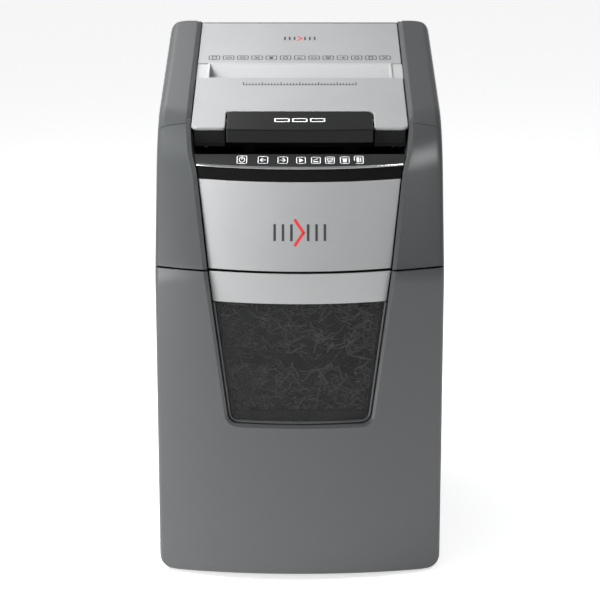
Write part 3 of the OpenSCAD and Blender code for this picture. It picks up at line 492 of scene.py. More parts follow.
def section(x, inset=0.0):
    ax = min(abs(x), half_w - inset)
    s = setback(ax, inset)
    y0 = front_y + s
    tan_l, tan_s = math.tan(lean), math.tan(slope)
    z_bend = seam - s * (1 / math.cos(lean) - 1) / tan_l
    y_lean = lambda z: front_y + s / math.cos(lean) + (z - seam) * tan_l
    drop = rounding(ax, brow_r, inset) / math.cos(slope)
    top = lambda y: lid_z(y) + arm_rise - drop
    k = (top(0) + (y_lean(0)) * tan_s) / (1 - tan_l * tan_s)
    corner = (y_lean(k), k)
    yr = back_y - rounding(ax, rear_r, inset)
    z0 = foot_z + rounding(ax, foot_r, inset) + foot_lift - foot_sweep * min(1.0, (ax / foot_span) ** 2)
    a, b, c, d, e = (y0, z0), (y0, z_bend), corner, (yr, top(yr)), (yr, z0)
    pts = fillet(e, a, b, 3 * mm, 3)
    last = pts[-1]
    bend = fillet(a, b, c, 60 * mm - inset, 6)
    pts += [last.lerp(bend[0], i / 14) for i in range(1, 14)] + bend
    shoulder = fillet(b, c, d, shoulder_r - inset, 16)
    pts += [bend[-1].lerp(shoulder[0], i / 6) for i in range(1, 6)] + shoulder
    rear = fillet(c, d, e, 14 * mm - inset, 6)
    pts += [shoulder[-1].lerp(rear[0], i / 12) for i in range(1, 12)] + rear
    base = fillet(d, e, a, 3 * mm, 3)
    pts += [rear[-1].lerp(base[0], i / 8) for i in range(1, 8)] + base
    return pts


print("points in a profile:", len(section(0)))

# %% The lofted skin
def skin(inset=0.0):
    w = half_w - inset
    near = [o * mm for o in (0, 0.12, 0.5, 1.1, 2.0, 3.2, 5, 7, 9, 11.5, 14, 18, 24)]
    xs = [w - o for o in near]
    xs += [xs[-1] * i / 14 for i in range(13, -1, -1)]
    xs = [-x for x in xs[:-1]] + xs[::-1]
    rows = [[(x, p.x, p.y) for p in section(x, inset)] for x in xs]
    return new_piece("skin", [v for r in rows for v in r], swept_faces(len(rows), len(rows[0])), None)


def lip(z):
    """Width of the bevel round the recess: narrow at the window, wider at the shoulder."""
    t = min(1.0, max(0.0, (z - window_foot) / (panel_top - window_foot)))
    return (3.6 + 1.6 * t) * mm


def column_outline(grow):
    """Front view of the recess, as (x, z) points; grow is a function of height."""
    r = foot_turn
    zs = [seam - 60 * mm, seam, seam + 50 * mm, panel_top + 8 * mm, panel_top + 29 * mm, panel_top + 54 * mm,
          0.75]
    right = []
    g0 = grow(window_foot)
    for i in range(9):
        t = math.radians(90 * i / 8)
        right.append((foot_flat + (r + g0) * math.sin(t), window_foot + r - (r + g0) * math.cos(t)))
    right += [(column_half(z) + grow(z), z) for z in zs]
    return [(-x, z) for x, z in right[::-1]] + right


print("lip at the window", round(lip(window_foot) / mm, 1), "mm, at the shoulder",
      round(lip(panel_top) / mm, 1), "mm")

# %% [markdown]
# ## Bin cover and head housing
# Both are the same skin, split at the seam. The recess for window and panels is cut through, then edged
# with a narrow bevel and a wall that follow the outline on the curved front.

# %% The bevelled rim of the recess
def lip_strip(name, path, depth, wall, reach=None):
    """path: (x, z, outward x, outward z, width) along the outline. The wall goes
    back by wall, or to depth reach."""
    verts = []
    for x, z, nx, nz, g in path:
        xo, zo = x + nx * g, z + nz * g
        yo, yi = skin_depth(xo, zo), skin_depth(x, z)
        if reach is not None:
            wall = max(8 * mm, reach - yi)
        verts += [(xo, yo, zo), (x + nx * g * 0.12, yo + (yi + depth - yo) * 0.88, z + nz * g * 0.12),
                  (x, yi + depth + 0.5 * mm, z), (x, yi + wall, z),
                  (x + nx * 1.5 * mm, yi + wall, z + nz * 1.5 * mm),
                  (xo, yo + 2.4 * mm, zo)]
    return new_piece(name, verts, swept_faces(len(path), 6), None)


def skin_depth(x, z):
    """Depth of the front skin at (x, z), found on the side profile."""
    pts = section(x)
    for p, q in zip(pts[:52], pts[1:53]):
        if p.y <= z <= q.y and q.y > p.y:
            return p.x + (q.x - p.x) * (z - p.y) / (q.y - p.y)
    return pts[0].x if z < pts[0].y else pts[51].x


def recess_path(z_low, z_high, steps, foot=False):
    """Right side of the recess outline, upwards."""
    r = foot_turn
    path = []
    if foot:
        for i in range(17):
            x = foot_flat * (i - 8) / 8
            path.append((x, window_foot, 0, -1, lip(window_foot)))
        for i in range(1, 9):
            t = math.radians(90 * i / 8)
            path.append((foot_flat + r * math.sin(t), window_foot + r - r * math.cos(t), math.sin(t),
                         -math.cos(t), lip(window_foot)))
    for i in range(1 if foot else 0, steps + 1):
        z = z_low + (z_high - z_low) * i / steps
        path.append((column_half(z), z, 1, 0, lip(z)))
    return path


def mirrored(path):
    return [(-x, z, -nx, nz, g) for x, z, nx, nz, g in path]


# %% Bin cover
cover = cut(skin(), "INTERSECT", block(-1, 1, front_y - 0.1, cover_end, 0, seam - 1.3 * mm))
cover = cut(cover, "DIFFERENCE", prism(column_outline(lip), "y", front_y - 0.05, 0.0))
cover = cut(cover, "DIFFERENCE", skin(shell))
cover = edge(cover, 0.7 * mm)
right = recess_path(window_foot + foot_turn, seam - 1.3 * mm, 14, foot=True)
rim_path = mirrored([p for p in right if p[0] >= foot_flat])[::-1] + right
cover = joined("bin_front_cover", [cover, lip_strip("lip", rim_path, 2.6 * mm, 15 * mm)])
dress(cover, "dark_plastic", "bin", ("bin_cover",), smooth=27)
print("cover triangles:", sum(len(p.vertices) - 2 for p in cover.data.polygons))

# %% The parting line between head and lid
seam_y = front_y + 120 * mm
parting = lid_z(seam_y) + arm_rise
lid_t = 26 * mm
hinge_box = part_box("hinge_pins")
hinge_y, hinge_z = back_y - 5.5 * mm, hinge_box[1].z - 3 * mm


def lid_profile(g):
    """Side view of all that lifts, shrunk by g."""
    yl = seam_y + (lid_t + arm_rise) / 3
    y_rear = back_y - 17.5 * mm
    return [(seam_y - (0.75 - parting) / 3 + g, 0.75), (yl + g, lid_z(yl) - lid_t + g),
            (y_rear, lid_z(y_rear) - lid_t + g),
            (back_y + 0.06, lid_z(y_rear) - lid_t + g), (back_y + 0.06, 0.75)]


# %% Head housing
head = cut(skin(), "INTERSECT", block(-1, 1, -0.5, 0.5, seam + 1 * mm, 0.9))
head = cut(head, "DIFFERENCE", prism(column_outline(lip), "y", front_y - 0.05, -0.06),
           prism(lid_profile(-0.5 * mm), "x", -0.3, 0.3), skin(shell),
           block(-1, 1, hinge_box[0].y - 0.5 * mm, 0.3, hinge_box[0].z + 22 * mm, 0.9))
vent_z = seam + 81 * mm
for i in range(9):
    x = (-130 + 14 * i) * mm
    head = cut(head, "DIFFERENCE", block(x, x + 8 * mm, back_y - 8 * mm, 0.3, vent_z, vent_z + 70 * mm))
for name in ("mains_inlet", "rocker_frame"):
    lo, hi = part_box(name)
    head = cut(head, "DIFFERENCE", block(lo.x, hi.x, back_y - 8 * mm, 0.3, lo.z, hi.z))
head = edge(head, 0.6 * mm)
side = recess_path(seam + 1 * mm, parting - 1.5 * mm, 26)
reach = front_y + 146 * mm
head = joined("head_case",
        [head, lip_strip("lip", side, 3.2 * mm, 0, reach),
         lip_strip("lip", mirrored(side), 3.2 * mm, 0, reach)])
dress(head, "dark_plastic", "cabinet", ("head_housing",), smooth=27)
print("head triangles:", sum(len(p.vertices) - 2 for p in head.data.polygons))

# %% [markdown]
# ## Lid arms
# The lid's frame is two arms joined at the back by a cross bar that is level with the silver panel. The
# arms step down to the panel over a sloping inner face, and two knuckles turn on the hinge pins.

# %% Lid frame
step = 5.6 * mm
arms = cut(skin(), "INTERSECT", prism(lid_profile(0.3 * mm), "x", -0.3, 0.3))
arms = cut(arms, "DIFFERENCE",
           block(-panel_half - step, panel_half + step, -0.5, lid_back.y + 0.4 * mm, 0, 0.9))
bar_y = (lid_back.y - 1 * mm, back_y + 0.03)
bar = [(y, lid_z(y) - 0.3 * mm + up)
       for y, up in ((bar_y[0], 0), (bar_y[1], 0), (bar_y[1], 0.1), (bar_y[0], 0.1))]
arms = cut(arms, "DIFFERENCE", prism(bar, "x", -panel_half - 0.4 * mm, panel_half + 0.4 * mm))
for x in (-154, -110, 110, 154):
    arms = cut(arms, "DIFFERENCE",
               block((x - 3) * mm, (x + 3) * mm, back_y - 14 * mm, back_y + 0.01, 0, hinge_z + 5.5 * mm))
inner = cut(skin(shell), "DIFFERENCE",
            block(-panel_half - step - 2 * mm, panel_half + step + 2 * mm, -0.5, 0.5, 0, 0.9))
arms = cut(arms, "DIFFERENCE", inner)
arms = edge(arms, 0.6 * mm)


def skin_top(x, y):
    """Height of the skin's upper face at (x, y)."""
    pts = section(x)[38:]
    for p, q in zip(pts, pts[1:]):
        if p.x <= y <= q.x and q.x > p.x:
            return p.y + (q.y - p.y) * (y - p.x) / (q.x - p.x)
    return lid_z(y)


def arm_step(s):
    """Sloping inner face of one arm, from its top down to the panel's edge."""
    verts = []
    ys = [seam_y - 1 * mm + (lid_back.y + 0.4 * mm - seam_y + 1 * mm) * i / 24 for i in range(25)]
    for i, y in enumerate(ys):
        xo, xi = panel_half + step, panel_half + 0.5 * mm
        zo = skin_top(xo, y) - 0.1 * mm
        pts = [(xo + 0.2 * mm, zo), (xo - 1.2 * mm, zo - 0.35 * mm), (xi, lid_z(y) + 0.6 * mm),
               (xi, lid_z(y) - lid_t + 1 * mm),
               (xi + 1.8 * mm, lid_z(y) - lid_t + 1 * mm), (xo + 0.2 * mm, zo - 4 * mm)]
        shift = max(0.0, 0.35 * (1 - i / 2)) * mm
        verts += [(s * px, y - (lid_z(y) - pz) * -0.34 * (1 if i == 0 else 0) + shift, pz)
                  for px, pz in pts]
    return new_piece("arm_step", verts, swept_faces(len(ys), 6), None)


knuckles = []
for s in (-1, 1):
    ring = []
    cy, cz, r = hinge_y, hinge_z, 5.2 * mm
    for i in range(24):
        t = 2 * math.pi * i / 24
        ring.append((cy + r * math.cos(t), cz + r * math.sin(t)))
    k = prism(ring, "x", s * 114 * mm, s * 150 * mm)
    k = cut(k, "UNION", block(min(s * 114, s * 150) * mm, max(s * 114, s * 150) * mm, cy - 3.5 * mm,
                              cy + 3.5 * mm, cz, cz + 9 * mm))
    knuckles.append(edge(k, 0.5 * mm))
arms = joined("lid_frame", [arms, arm_step(1), arm_step(-1)] + knuckles)
dress(arms, "dark_plastic", "lid", ("lid_arms",), smooth=27)
print("lid frame triangles:", sum(len(p.vertices) - 2 for p in arms.data.polygons))

# %% [markdown]
# ## Silver panels, gloss band and trim line
# The front panels are thin bowed plates. Each is a grid on the panel surface with a back, a wall and a
# small edge radius, so it shows a fine shadow gap all round.

# %% Bowed plates
def plate(name, z0, z1, inset, thick, margin, material, body, replaced, radius=0.8 * mm, cols=28, rows=6,
          half=None):
    half = half or (lambda z: column_half(z) - margin)
    verts = []
    for t in (0, thick):
        for j in range(rows + 1):
            z = z0 + (z1 - z0) * j / rows
            for i in range(cols + 1):
                x = half(z) * (2 * i / cols - 1)
                verts.append((x, panel_y(x, z, inset + t), z))
    o = new_piece(name, verts, slab_faces(cols, rows), None)
    if radius:
        o = edge(o, radius, 3, 50)
    return dress(o, material, body, replaced)


plate("silver_front", seam + 1.2 * mm, panel_top - 0.3 * mm, 0, 2.5 * mm, 1.5 * mm, "silver_paint", "cabinet",
      ("front_panel",), 0.9 * mm, rows=10)
plate("gloss_front", panel_top, trim_z - 1.6 * mm, 0.5 * mm, 2.5 * mm, 1.3 * mm, "gloss_black", "cabinet",
      ("gloss_band",), 0.5 * mm, rows=3)
plate("trim_bead", trim_z - 1.5 * mm, trim_z + 1.5 * mm, -0.8 * mm, 3.4 * mm, 1.0 * mm, "silver_trim",
      "cabinet", ("trim_line",), 1.2 * mm, rows=1)
plate("silver_strip", strip_bottom + 0.3 * mm, seam - 1.6 * mm, 0, 2.5 * mm, 1.5 * mm, "silver_paint", "bin",
      ("bin_strip",), 0.9 * mm, rows=4)


def window_half(g):
    r = foot_turn

    def half(z):
        up_from = window_foot + r - z
        if up_from > 0:
            return foot_flat + math.sqrt(max(0.0, (r - g) ** 2 - up_from ** 2))
        return column_half(z) - g
    return half


# %% Window and its rim
def window_plate():
    g = 3.4 * mm
    half = window_half(g)
    z0, z1 = window_foot + g, strip_bottom - 0.4 * mm
    zs = [z0 + 9.6 * mm * (1 - math.cos(math.radians(90 * i / 10))) for i in range(10)]
    zs += [z0 + 9.6 * mm + (z1 - z0 - 9.6 * mm) * i / 10 for i in range(11)]
    cols = 26
    verts = []
    for t in (1 * mm, 3 * mm):
        for z in zs:
            for i in range(cols + 1):
                x = half(z) * (2 * i / cols - 1)
                verts.append((x, panel_y(x, z, t), z))
    return new_piece("window_pane", verts, slab_faces(cols, len(zs) - 1), "smoked_clear", "bin", ("window",))


window_plate()


def rim_bead():
    """Rounded rim between the recess wall and the pane."""
    path = [p[:4] for p in recess_path(window_foot + foot_turn, strip_bottom - 0.4 * mm, 12, foot=True)]
    path = [(-x, z, -nx, nz) for x, z, nx, nz in path[:16:-1]] + path
    verts = []
    for x, z, nx, nz in path:
        for k in range(9):
            t = math.pi * k / 8
            w = (0.1 + 1.9 * (1 - math.cos(t))) * mm
            px, pz = x - nx * w, z - nz * w
            verts.append((px, panel_y(px, pz) - 2.4 * mm * math.sin(t) + 0.4 * mm, pz))
        verts.append((x - nx * 4 * mm, panel_y(x, z, 5 * mm), z - nz * 4 * mm))
        verts.append((x - nx * 0.2 * mm, panel_y(x, z, 5 * mm), z - nz * 0.2 * mm))
    return new_piece("window_bead", verts, swept_faces(len(path), 11), "dark_plastic", "bin", ("window_rim",))


rim_bead()
print("front plates and window done")

# %% [markdown]
# ## Lid panels
# The two silver panels lie on the sloping lid plane. Their outlines are drawn in plan with rounded corners,
# lifted onto the slope, and given a rolled edge that catches the light.

# %% Panels on the slope
def soft_corners(points, radii, steps=6):
    """Plan outline with each corner rounded by its own radius."""
    out = []
    n = len(points)
    for i, (p, r) in enumerate(zip(points, radii)):
        if r <= 0:
            out.append(Vector(p))
        else:
            out += fillet(points[i - 1], p, points[(i + 1) % n], r, steps)
    return out


def on_slope(name, outline, rise, thick, width, segments=3):
    """A plate with this plan outline whose upper face lies rise above the lid plane."""
    verts = [(p.x, p.y, lid_z(p.y) + rise) for p in outline]
    verts += [(p.x, p.y + thick * math.sin(slope), lid_z(p.y) + rise - thick * math.cos(slope))
              for p in outline]
    return edge(new_piece(name, verts, bar_faces(len(outline)), None), width, segments, 50)


front_lo, front_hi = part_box("lid_front_panel")
hx, notch_x, notch_y = front_hi.x, 91.5 * mm, front_y + 158.5 * mm
pts = [(-hx, front_hi.y), (-hx, front_lo.y), (-notch_x, front_lo.y), (-notch_x, notch_y), (notch_x, notch_y),
       (notch_x, front_lo.y), (hx, front_lo.y), (hx, front_hi.y)]
front_lid = on_slope("lid_front", soft_corners(pts, [0, 9 * mm, 3 * mm, 4 * mm, 4 * mm, 3 * mm, 9 * mm, 0]),
                     0.4 * mm, 4.4 * mm, 1.4 * mm)
dress(front_lid, "silver_paint", "lid", ("lid_front_panel",))
rear_lo, rear_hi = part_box("lid_rear_panel")
pts = [(rear_lo.x + 0.6 * mm, rear_lo.y), (rear_hi.x - 0.6 * mm, rear_lo.y),
       (rear_hi.x - 0.6 * mm, rear_hi.y), (rear_lo.x + 0.6 * mm, rear_hi.y)]
rear_lid = on_slope("lid_rear", [Vector(p) for p in pts], 0.0, 3.4 * mm, 1.3 * mm)
dress(rear_lid, "silver_paint", "lid", ("lid_rear_panel",))

# %% Slot throat
throat = nodes["slot_throat"].copy()
throat.data = nodes["slot_throat"].data.copy()
throat.name = "slot_funnel"
throat.parent = None
throat.matrix_world = Matrix.Identity(4)
throat.modifiers.clear()
scene.collection.objects.link(throat)
bm = bmesh.new()
bm.from_mesh(throat.data)
bmesh.ops.remove_doubles(bm, verts=bm.verts, dist=0.00002)
bmesh.ops.dissolve_limit(bm, angle_limit=math.radians(1), verts=bm.verts, edges=bm.edges)
bm.to_mesh(throat.data)
bm.free()
throat = edge(throat, 0.8 * mm, 3, 25)
dress(throat, "throat_white", "lid", ("slot_throat",))
print("lid panels and throat done")

# %% [markdown]
# ## Handle
# The black handle fills the notch in the lid. Its front is only slightly bowed, its rear corners are
# rounded, and it is hollow underneath, where the fingers go.

# %% Handle shell
hand_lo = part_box("handle")[0]
hand_front = front_y + 101 * mm


def handle_outline(inset):
    xs = 90 * mm - inset
    bow_r = 1.6
    front = [(xs * i / 12, hand_front + inset + bow_r - math.sqrt(bow_r ** 2 - (xs * i / 12) ** 2))
             for i in range(-12, 13)]
    rear_y = notch_y - 1.7 * mm - inset
    rear = fillet(front[-1], (xs, rear_y), (-xs, rear_y), 7 * mm - inset, 6)
    rear += fillet((xs, rear_y), (-xs, rear_y), front[0], 7 * mm - inset, 6)
    return [Vector(p) for p in front] + rear


def handle_block(inset, rise, z_low):
    o = handle_outline(inset)
    verts = [(p.x, p.y, z_low) for p in o] + [(p.x, p.y, lid_z(p.y) + rise) for p in o]
    return new_piece("handle_part", verts, bar_faces(len(o), lid_last=True), None)


hand = edge(handle_block(0, 1.4 * mm, hand_lo.z), 1.6 * mm, 3, 40)
hand = cut(hand, "DIFFERENCE", handle_block(3 * mm, -2 * mm, hand_lo.z - 10 * mm))
hand.name = "lift_handle"
piv_y, piv_z = front_y + 148 * mm, lid_z(front_y + 148 * mm) - 8 * mm
ears = []
for x in (-87.0, -58.5, 55.5, 84.0):
    outline = [(piv_y - 5 * mm, piv_z - 5 * mm), (piv_y + 5 * mm, piv_z - 5 * mm),
               (piv_y + 5 * mm, lid_z(piv_y + 5 * mm) - 2.2 * mm),
               (piv_y - 25 * mm, lid_z(piv_y - 25 * mm) - 2.2 * mm)]
    ears.append(edge(prism(outline, "x", x * mm, (x + 3) * mm), 0.5 * mm))
hand = joined("lift_handle", [hand] + ears)
dress(hand, "handle_plastic", "latch", ("handle",))
print("handle box:", [round(v, 4) for v in (*hand.bound_box[0], *hand.bound_box[6])])

# %% [markdown]
# ## Control strip
# The strip runs from the bowed trim line up to the straight edge of the finger recess, so it is a ruled
# surface: straight lines joining a curve to a line. Keys and lamps sit square on it, each in its own small
# frame.

# %% The ruled surface
strip_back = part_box("recess_panel")[0].y + 0.4 * mm
strip_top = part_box("recess_panel")[0].z + 7.9 * mm


def strip_point(x, t, lift=0.0):
    """Point at x on the strip, t from the trim line (0) to the recess (1)."""
    a = Vector((x, panel_y(x, trim_z + 0.9 * mm) + 1.2 * mm, trim_z + 0.7 * mm))
    b = Vector((x, strip_back, strip_top))
    d = (b - a).normalized()
    return a.lerp(b, t) + Vector((0, -d.z, d.y)) * lift


def strip_axes(x, t=0.5):
    d = (strip_point(x, 1) - strip_point(x, 0)).normalized()
    return strip_point(x, t), Vector((1, 0, 0)), d, Vector((0, -d.z, d.y))


def strip_mesh():
    verts = []
    cols, rows = 40, 8
    for lift in (0, -2.4 * mm):
        for j in range(rows + 1):
            for i in range(cols + 1):
                t = j / rows
                z = strip_point(0, t).z
                x = (column_half(z) - 1.0 * mm) * (2 * i / cols - 1)
                verts.append(strip_point(x, t, lift))
    return new_piece("strip", verts, slab_faces(cols, rows), None)


def rounded_box(w, h, r, steps):
    corners = [(-w / 2, -h / 2), (w / 2, -h / 2), (w / 2, h / 2), (-w / 2, h / 2)]
    return soft_corners(corners, [r] * 4, steps)


def pad(x, t, w, l, r, low, high, width=0.0):
    """A rounded block standing on the strip."""
    o, ax, ay, az = strip_axes(x, t)
    pts = rounded_box(w, l, r, 5)
    verts = [o + ax * p.x + ay * p.y + az * h for h in (low, high) for p in pts]
    o = new_piece("pad", verts, bar_faces(len(pts), lid_last=True), None)
    return edge(o, width, 3, 50) if width else o


key_x = {"power": -70 * mm, "reverse": -44.5 * mm, "forward": -20.5 * mm}
lamp_x = [1.5 * mm, 19.5 * mm, 36.5 * mm, 54.5 * mm, 71.5 * mm]
key_w, key_l = 13.4 * mm, 19 * mm
row_t = 0.52  # how far up the strip the row of keys and lamps sits
strip = cut(strip_mesh(), "DIFFERENCE",
        *[pad(x, row_t, key_w + 0.8 * mm, key_l + 0.8 * mm, 2.4 * mm, -6 * mm, 6 * mm)
          for x in key_x.values()])
strip = edge(strip, 0.35 * mm, 2, 50)
strip.name = "control_fascia"
dress(strip, "strip_plastic", "cabinet", ("control_panel",))
for key, x in key_x.items():
    o = pad(x, row_t, key_w, key_l, 2 * mm, -3.2 * mm, 0.35 * mm, 0.45 * mm)
    o.name = key + "_cap"
    dress(o, "strip_plastic", key + "_button", (key + "_key",))
lenses = joined("lamp_windows",
                [pad(x, row_t, 11.5 * mm, 18 * mm, 1.8 * mm, -0.4 * mm, 0.12 * mm) for x in lamp_x])
dress(lenses, "lens", "cabinet", ("lamp_lenses",))
print("strip, keys and lamps done")

# %% [markdown]
# ## Printed signs
# Signs are thin raised strokes, so they keep crisp edges at any distance and need no picture. Each stroke
# is a closed sliver a tenth of a millimetre thick.

# %% Strokes
class Sign:
    """Collects thin strokes drawn in a local frame."""

    def __init__(self, origin, ax, ay, az, lift=0.12):
        self.o, self.ax, self.ay, self.az, self.lift = origin, ax, ay, az, lift
        self.verts, self.faces = [], []

    def quad(self, pts):
        base = len(self.verts)
        for h in (self.lift - 0.1, self.lift):
            self.verts += [self.o + self.ax * (p[0] * mm) + self.ay * (p[1] * mm) + self.az * (h * mm)
                           for p in pts]
        self.faces += bar_faces(len(pts), base, lid_last=True)

    def line(self, points, w, closed=False):
        pts = [Vector(p) for p in points]
        if closed:
            pts.append(pts[0])
        for a, b in zip(pts, pts[1:]):
            d = (b - a).normalized() * (w / 2)
            m = Vector((-d.y, d.x))
            self.quad([a - d * 0.8 - m, b + d * 0.8 - m, b + d * 0.8 + m, a - d * 0.8 + m])

    def arc(self, cx, cy, r, a0, a1, w, n=14, squash=1.0):
        self.line([(cx + r * math.cos(math.radians(a0 + (a1 - a0) * i / n)),
                    cy + squash * r * math.sin(math.radians(a0 + (a1 - a0) * i / n)))
                   for i in range(n + 1)], w)

    def frame(self, w, h, r, t):
        self.line([(p.x, p.y) for p in rounded_box(w, h, r, 4)], t, True)

    def mesh(self, name):
        return new_piece(name, self.verts, self.faces, None)


def draw(sign, kind, k=1.0, w=1.0):
    """One small generic picture; heights are stretched by k, as the strip is seen at a slant."""
    if kind == "power":
        sign.arc(0, 0, 3.3, 125, 415, w, squash=k)
        sign.line([(0, 0.4 * k), (0, 4.2 * k)], w)
    elif kind == "back":
        sign.line([(3.4, 0), (-2.6, 0)], w)
        sign.line([(-0.4, 2.6 * k), (-3.2, 0), (-0.4, -2.6 * k)], w)
    elif kind == "ahead":
        sign.line([(-3.4, 0), (2.6, 0)], w)
        sign.line([(0.4, 2.6 * k), (3.2, 0), (0.4, -2.6 * k)], w)
    elif kind == "run":
        sign.quad([(-2.3, -2.9 * k), (3.1, 0), (-2.3, 2.9 * k)])
    elif kind == "lid":
        sign.quad([(-3, -2.8 * k), (3, -2.8 * k), (3, -1.4 * k), (-3, -1.4 * k)])
        sign.line([(-2.8, 0), (2.4, 2.6 * k)], w)
    elif kind == "jam":
        sign.line([(-3, 2.6 * k), (3, 2.6 * k), (3, 0.2 * k), (-3, 0.2 * k)], w, True)
        sign.line([(-2.6, -1.2 * k), (-1.3, -2.8 * k), (0, -1.2 * k), (1.3, -2.8 * k), (2.6, -1.2 * k)], w)
    elif kind == "bin":
        sign.quad([(-1.9, -3 * k), (1.9, -3 * k), (2.6, 1.3 * k), (-2.6, 1.3 * k)])
        sign.line([(-3.2, 2.5 * k), (3.2, 2.5 * k)], w)
    elif kind == "heat":
        sign.quad([(-2.6, -2.9 * k), (0.6, -2.9 * k), (0.6, 2.9 * k), (-2.6, 2.9 * k)])
        sign.line([(2.4, -2.6 * k), (2.4, 2.6 * k)], w)
    elif kind == "sheet":
        sign.line([(-2.4, -3.2 * k), (2.4, -3.2 * k), (2.4, 3.2 * k), (-2.4, 3.2 * k)], w, True)
    elif kind == "lines":
        for y in (-2.4, 0, 2.4):
            sign.line([(-3.6, y * k), (3.6, y * k)], w)
    elif kind == "round":
        sign.arc(0, 0, 2.9, 0, 360, w, squash=k)
    elif kind == "cross":
        sign.line([(-3, -3 * k), (3, 3 * k)], w)
        sign.line([(-3, 3 * k), (3, -3 * k)], w)
    elif kind == "clip":
        sign.arc(-1.6, 0, 1.8, 90, 270, w, 8, k)
        sign.arc(1.6, 0, 1.8, -90, 90, w, 8, k)
        sign.line([(-1.6, 1.8 * k), (1.6, 1.8 * k)], w)
        sign.line([(-1.6, -1.8 * k), (1.6, -1.8 * k)], w)


# %% Signs on the keys and lamps
for key, kind in (("power", "power"), ("reverse", "back"), ("forward", "ahead")):
    s = Sign(*strip_axes(key_x[key], row_t), 0.45)
    s.frame(11.6, 17, 2, 0.95)
    draw(s, kind, 1.75, 1.05)
    o = s.mesh(key + "_sign")
    dress(o, "print_light", key + "_button", ())
parts = []
for x, kind in zip(lamp_x, ("run", "lid", "jam", "bin", "heat")):
    s = Sign(*strip_axes(x, row_t), 0.24)
    s.frame(10.6, 16.4, 2, 0.95)
    draw(s, kind, 1.75, 1.0)
    parts.append(s.mesh("sign"))
dress(joined("lamp_signs", parts), "print_light", "cabinet", ())
print("signs on the strip:", len(key_x) + len(parts))

# %% Signs on the lid
def lid_sign(x, y, rise=0.0):
    t = Vector((0, math.cos(slope), math.sin(slope)))
    return Sign(Vector((x, y, lid_z(y) + rise)), Vector((1, 0, 0)), t,
                Vector((0, -math.sin(slope), math.cos(slope))))


parts = []
kinds = ["sheet", "clip", "lines", "cross", "bin", "round", "lid", "clip", "jam", "ahead", "round", "sheet",
         "cross"]
for i, kind in enumerate(kinds):
    s = lid_sign((-112.5 + 225 * i / 12) * mm, rear_lo.y + 17.5 * mm)
    s.frame(13.8, 13.6, 2, 1.05)
    draw(s, kind, 1.4, 1.2)
    parts.append(s.mesh("sign"))
# a plain sheet guide: a long line with a tick at each sheet width
s = lid_sign(0, front_hi.y - 20 * mm, 0.4 * mm)
s.line([(-72, -3.5), (72, -3.5)], 1.1)
for i in range(-18, 19):
    s.line([(4 * i, -3.5), (4 * i, 4.5 if i % 6 == 0 else 1.0)], 1.3)
parts.append(s.mesh("sign"))
s = lid_sign(0, rear_lo.y + 83 * mm)
for x in (-20, -13.5, -7, 7, 13.5, 20):
    s.line([(x, -5), (x, 5)], 2.2)
parts.append(s.mesh("sign"))
dress(joined("lid_signs", parts), "print_dark", "lid", ())
s = lid_sign(0, rear_lo.y + 83 * mm)
s.line([(-2.8, 7), (2.8, 0), (-2.8, -7)], 2.2)
dress(s.mesh("lid_mark"), "print_red", "lid", ())
s = lid_sign(0, (notch_y + hand_front) / 2, 1.4 * mm)
for x in (-22, 0, 22):
    s.line([(x - 8.5, -4.5), (x + 8.5, -4.5), (x + 8.5, 4.5), (x - 8.5, 4.5)], 1.8, True)
dress(s.mesh("handle_sign"), "print_light", "latch", ())
print("signs along the lid:", len(kinds))

# %% Mark on the front panel
def front_sign(x, z):
    up = Vector((0, math.sin(panel_lean), math.cos(panel_lean)))
    return Sign(Vector((x, panel_y(x, z), z)), Vector((1, 0, 0)), up,
                Vector((0, -math.cos(panel_lean), math.sin(panel_lean))), 0.12)


parts, mark_z = [], seam + 45 * mm
for x in (-30, -20, -10, 10, 20, 30):
    s = front_sign(x * mm, mark_z)
    s.line([(0, -9), (0, 9)], 3.0)
    parts.append(s.mesh("sign"))
dress(joined("panel_mark_dark", parts), "print_dark", "cabinet", ())
s = front_sign(0, mark_z)
s.line([(-5.5, 15), (4.5, 0), (-5.5, -15)], 3.4)
dress(s.mesh("panel_mark_red"), "print_red", "cabinet", ())
print("signs done")

# %% [markdown]
# ## Shredded paper
# Thin strips lie every way behind the window. One strip is a short curved ribbon; Geometry Nodes scatters
# it through two boxes, a dense one at the foot and a looser one above, with a fixed seed and random turns.

# %% One strip of paper
def strip_seed():
    verts, faces = [], []
    n = 8
    for i in range(n + 1):
        t = i / n - 0.5
        for s in (-1, 1):
            verts.append((t * 24 * mm, s * 1.0 * mm, (t * t * 9 + 0.9 * math.sin(t * 9)) * mm))
    for i in range(n):
        a = 2 * i
        faces.append((a, a + 1, a + 3, a + 2))
    o = new_piece("paper_strip", verts, faces, None)
    m = o.modifiers.new("thickness", "SOLIDIFY")
    m.thickness = 0.12 * mm
    return baked(o)


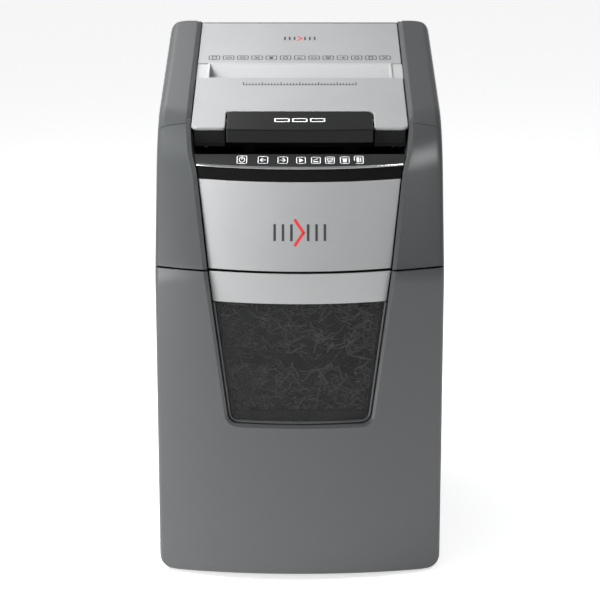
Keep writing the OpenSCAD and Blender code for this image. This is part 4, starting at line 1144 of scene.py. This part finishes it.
# %% The scattering tree
def scatter_tree(strip_object, material):
    g = bpy.data.node_groups.new("paper_scatter", "GeometryNodeTree")
    g.interface.new_socket(name="Geometry", in_out="INPUT", socket_type="NodeSocketGeometry")
    for name, kind, value in (("Density", "NodeSocketFloat", 1.0), ("Seed", "NodeSocketInt", 7),
                              ("Smallest", "NodeSocketFloat", 0.7),
                              ("Largest", "NodeSocketFloat", 1.3)):
        g.interface.new_socket(name=name, in_out="INPUT", socket_type=kind).default_value = value
    g.interface.new_socket(name="Geometry", in_out="OUTPUT", socket_type="NodeSocketGeometry")
    n, link = g.nodes, g.links.new
    gin, gout = n.new("NodeGroupInput"), n.new("NodeGroupOutput")
    volume, points = n.new("GeometryNodeMeshToVolume"), n.new("GeometryNodeDistributePointsInVolume")
    volume.inputs["Density"].default_value = 1.0
    info, put = n.new("GeometryNodeObjectInfo"), n.new("GeometryNodeInstanceOnPoints")
    turn, size = n.new("FunctionNodeRandomValue"), n.new("FunctionNodeRandomValue")
    info.inputs["Object"].default_value = strip_object
    turn.data_type = "FLOAT_VECTOR"
    turn.inputs[0].default_value = (-0.9, -0.7, 0)
    turn.inputs[1].default_value = (0.9, 0.7, 6.283)
    real, paint = n.new("GeometryNodeRealizeInstances"), n.new("GeometryNodeSetMaterial")
    paint.inputs["Material"].default_value = material
    link(gin.outputs["Geometry"], volume.inputs["Mesh"])
    link(volume.outputs[0], points.inputs["Volume"])
    link(gin.outputs["Density"], points.inputs["Density"])
    link(gin.outputs["Seed"], points.inputs["Seed"])
    link(gin.outputs["Seed"], turn.inputs["Seed"])
    link(gin.outputs["Seed"], size.inputs["Seed"])
    link(gin.outputs["Smallest"], size.inputs[2])
    link(gin.outputs["Largest"], size.inputs[3])
    link(points.outputs[0], put.inputs["Points"])
    link(info.outputs["Geometry"], put.inputs["Instance"])
    link(turn.outputs[0], put.inputs["Rotation"])
    link(size.outputs[1], put.inputs["Scale"])
    link(put.outputs[0], real.inputs[0])
    link(real.outputs[0], paint.inputs[0])
    link(paint.outputs[0], gout.inputs[0])
    return g


def heap(name, x0, x1, y0, y1, z0, z1, density, seed, tree):
    o = block(x0, x1, y0, y1, z0, z1)
    o.name = name
    m = o.modifiers.new("scatter", "NODES")
    m.node_group = tree
    ids = {s.name: s.identifier for s in tree.interface.items_tree if s.in_out == "INPUT"}
    m[ids["Density"]] = density
    m[ids["Seed"]] = seed
    return baked(o)


bucket_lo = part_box("bin_bucket")[0]
one = strip_seed()
tree = scatter_tree(one, mat["paper"])
y_face = bucket_lo.y + 9 * mm
near = heap("near", -118 * mm, 118 * mm, y_face, y_face + 22 * mm, window_foot - 12 * mm,
            window_foot + 62 * mm, 2400000.0, 7, tree)
loose = heap("loose", -112 * mm, 112 * mm, y_face + 6 * mm, y_face + 28 * mm, window_foot + 62 * mm,
             strip_bottom - 10 * mm, 1500000.0, 11, tree)
paper = joined("paper_strips", [near, loose])
bpy.data.objects.remove(one)
print("paper faces:", len(paper.data.polygons))
paper.data.materials.clear()
paper.data.materials.append(mat["paper"])
paper.data.polygons.foreach_set("use_smooth", [True] * len(paper.data.polygons))
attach(paper, "bin")
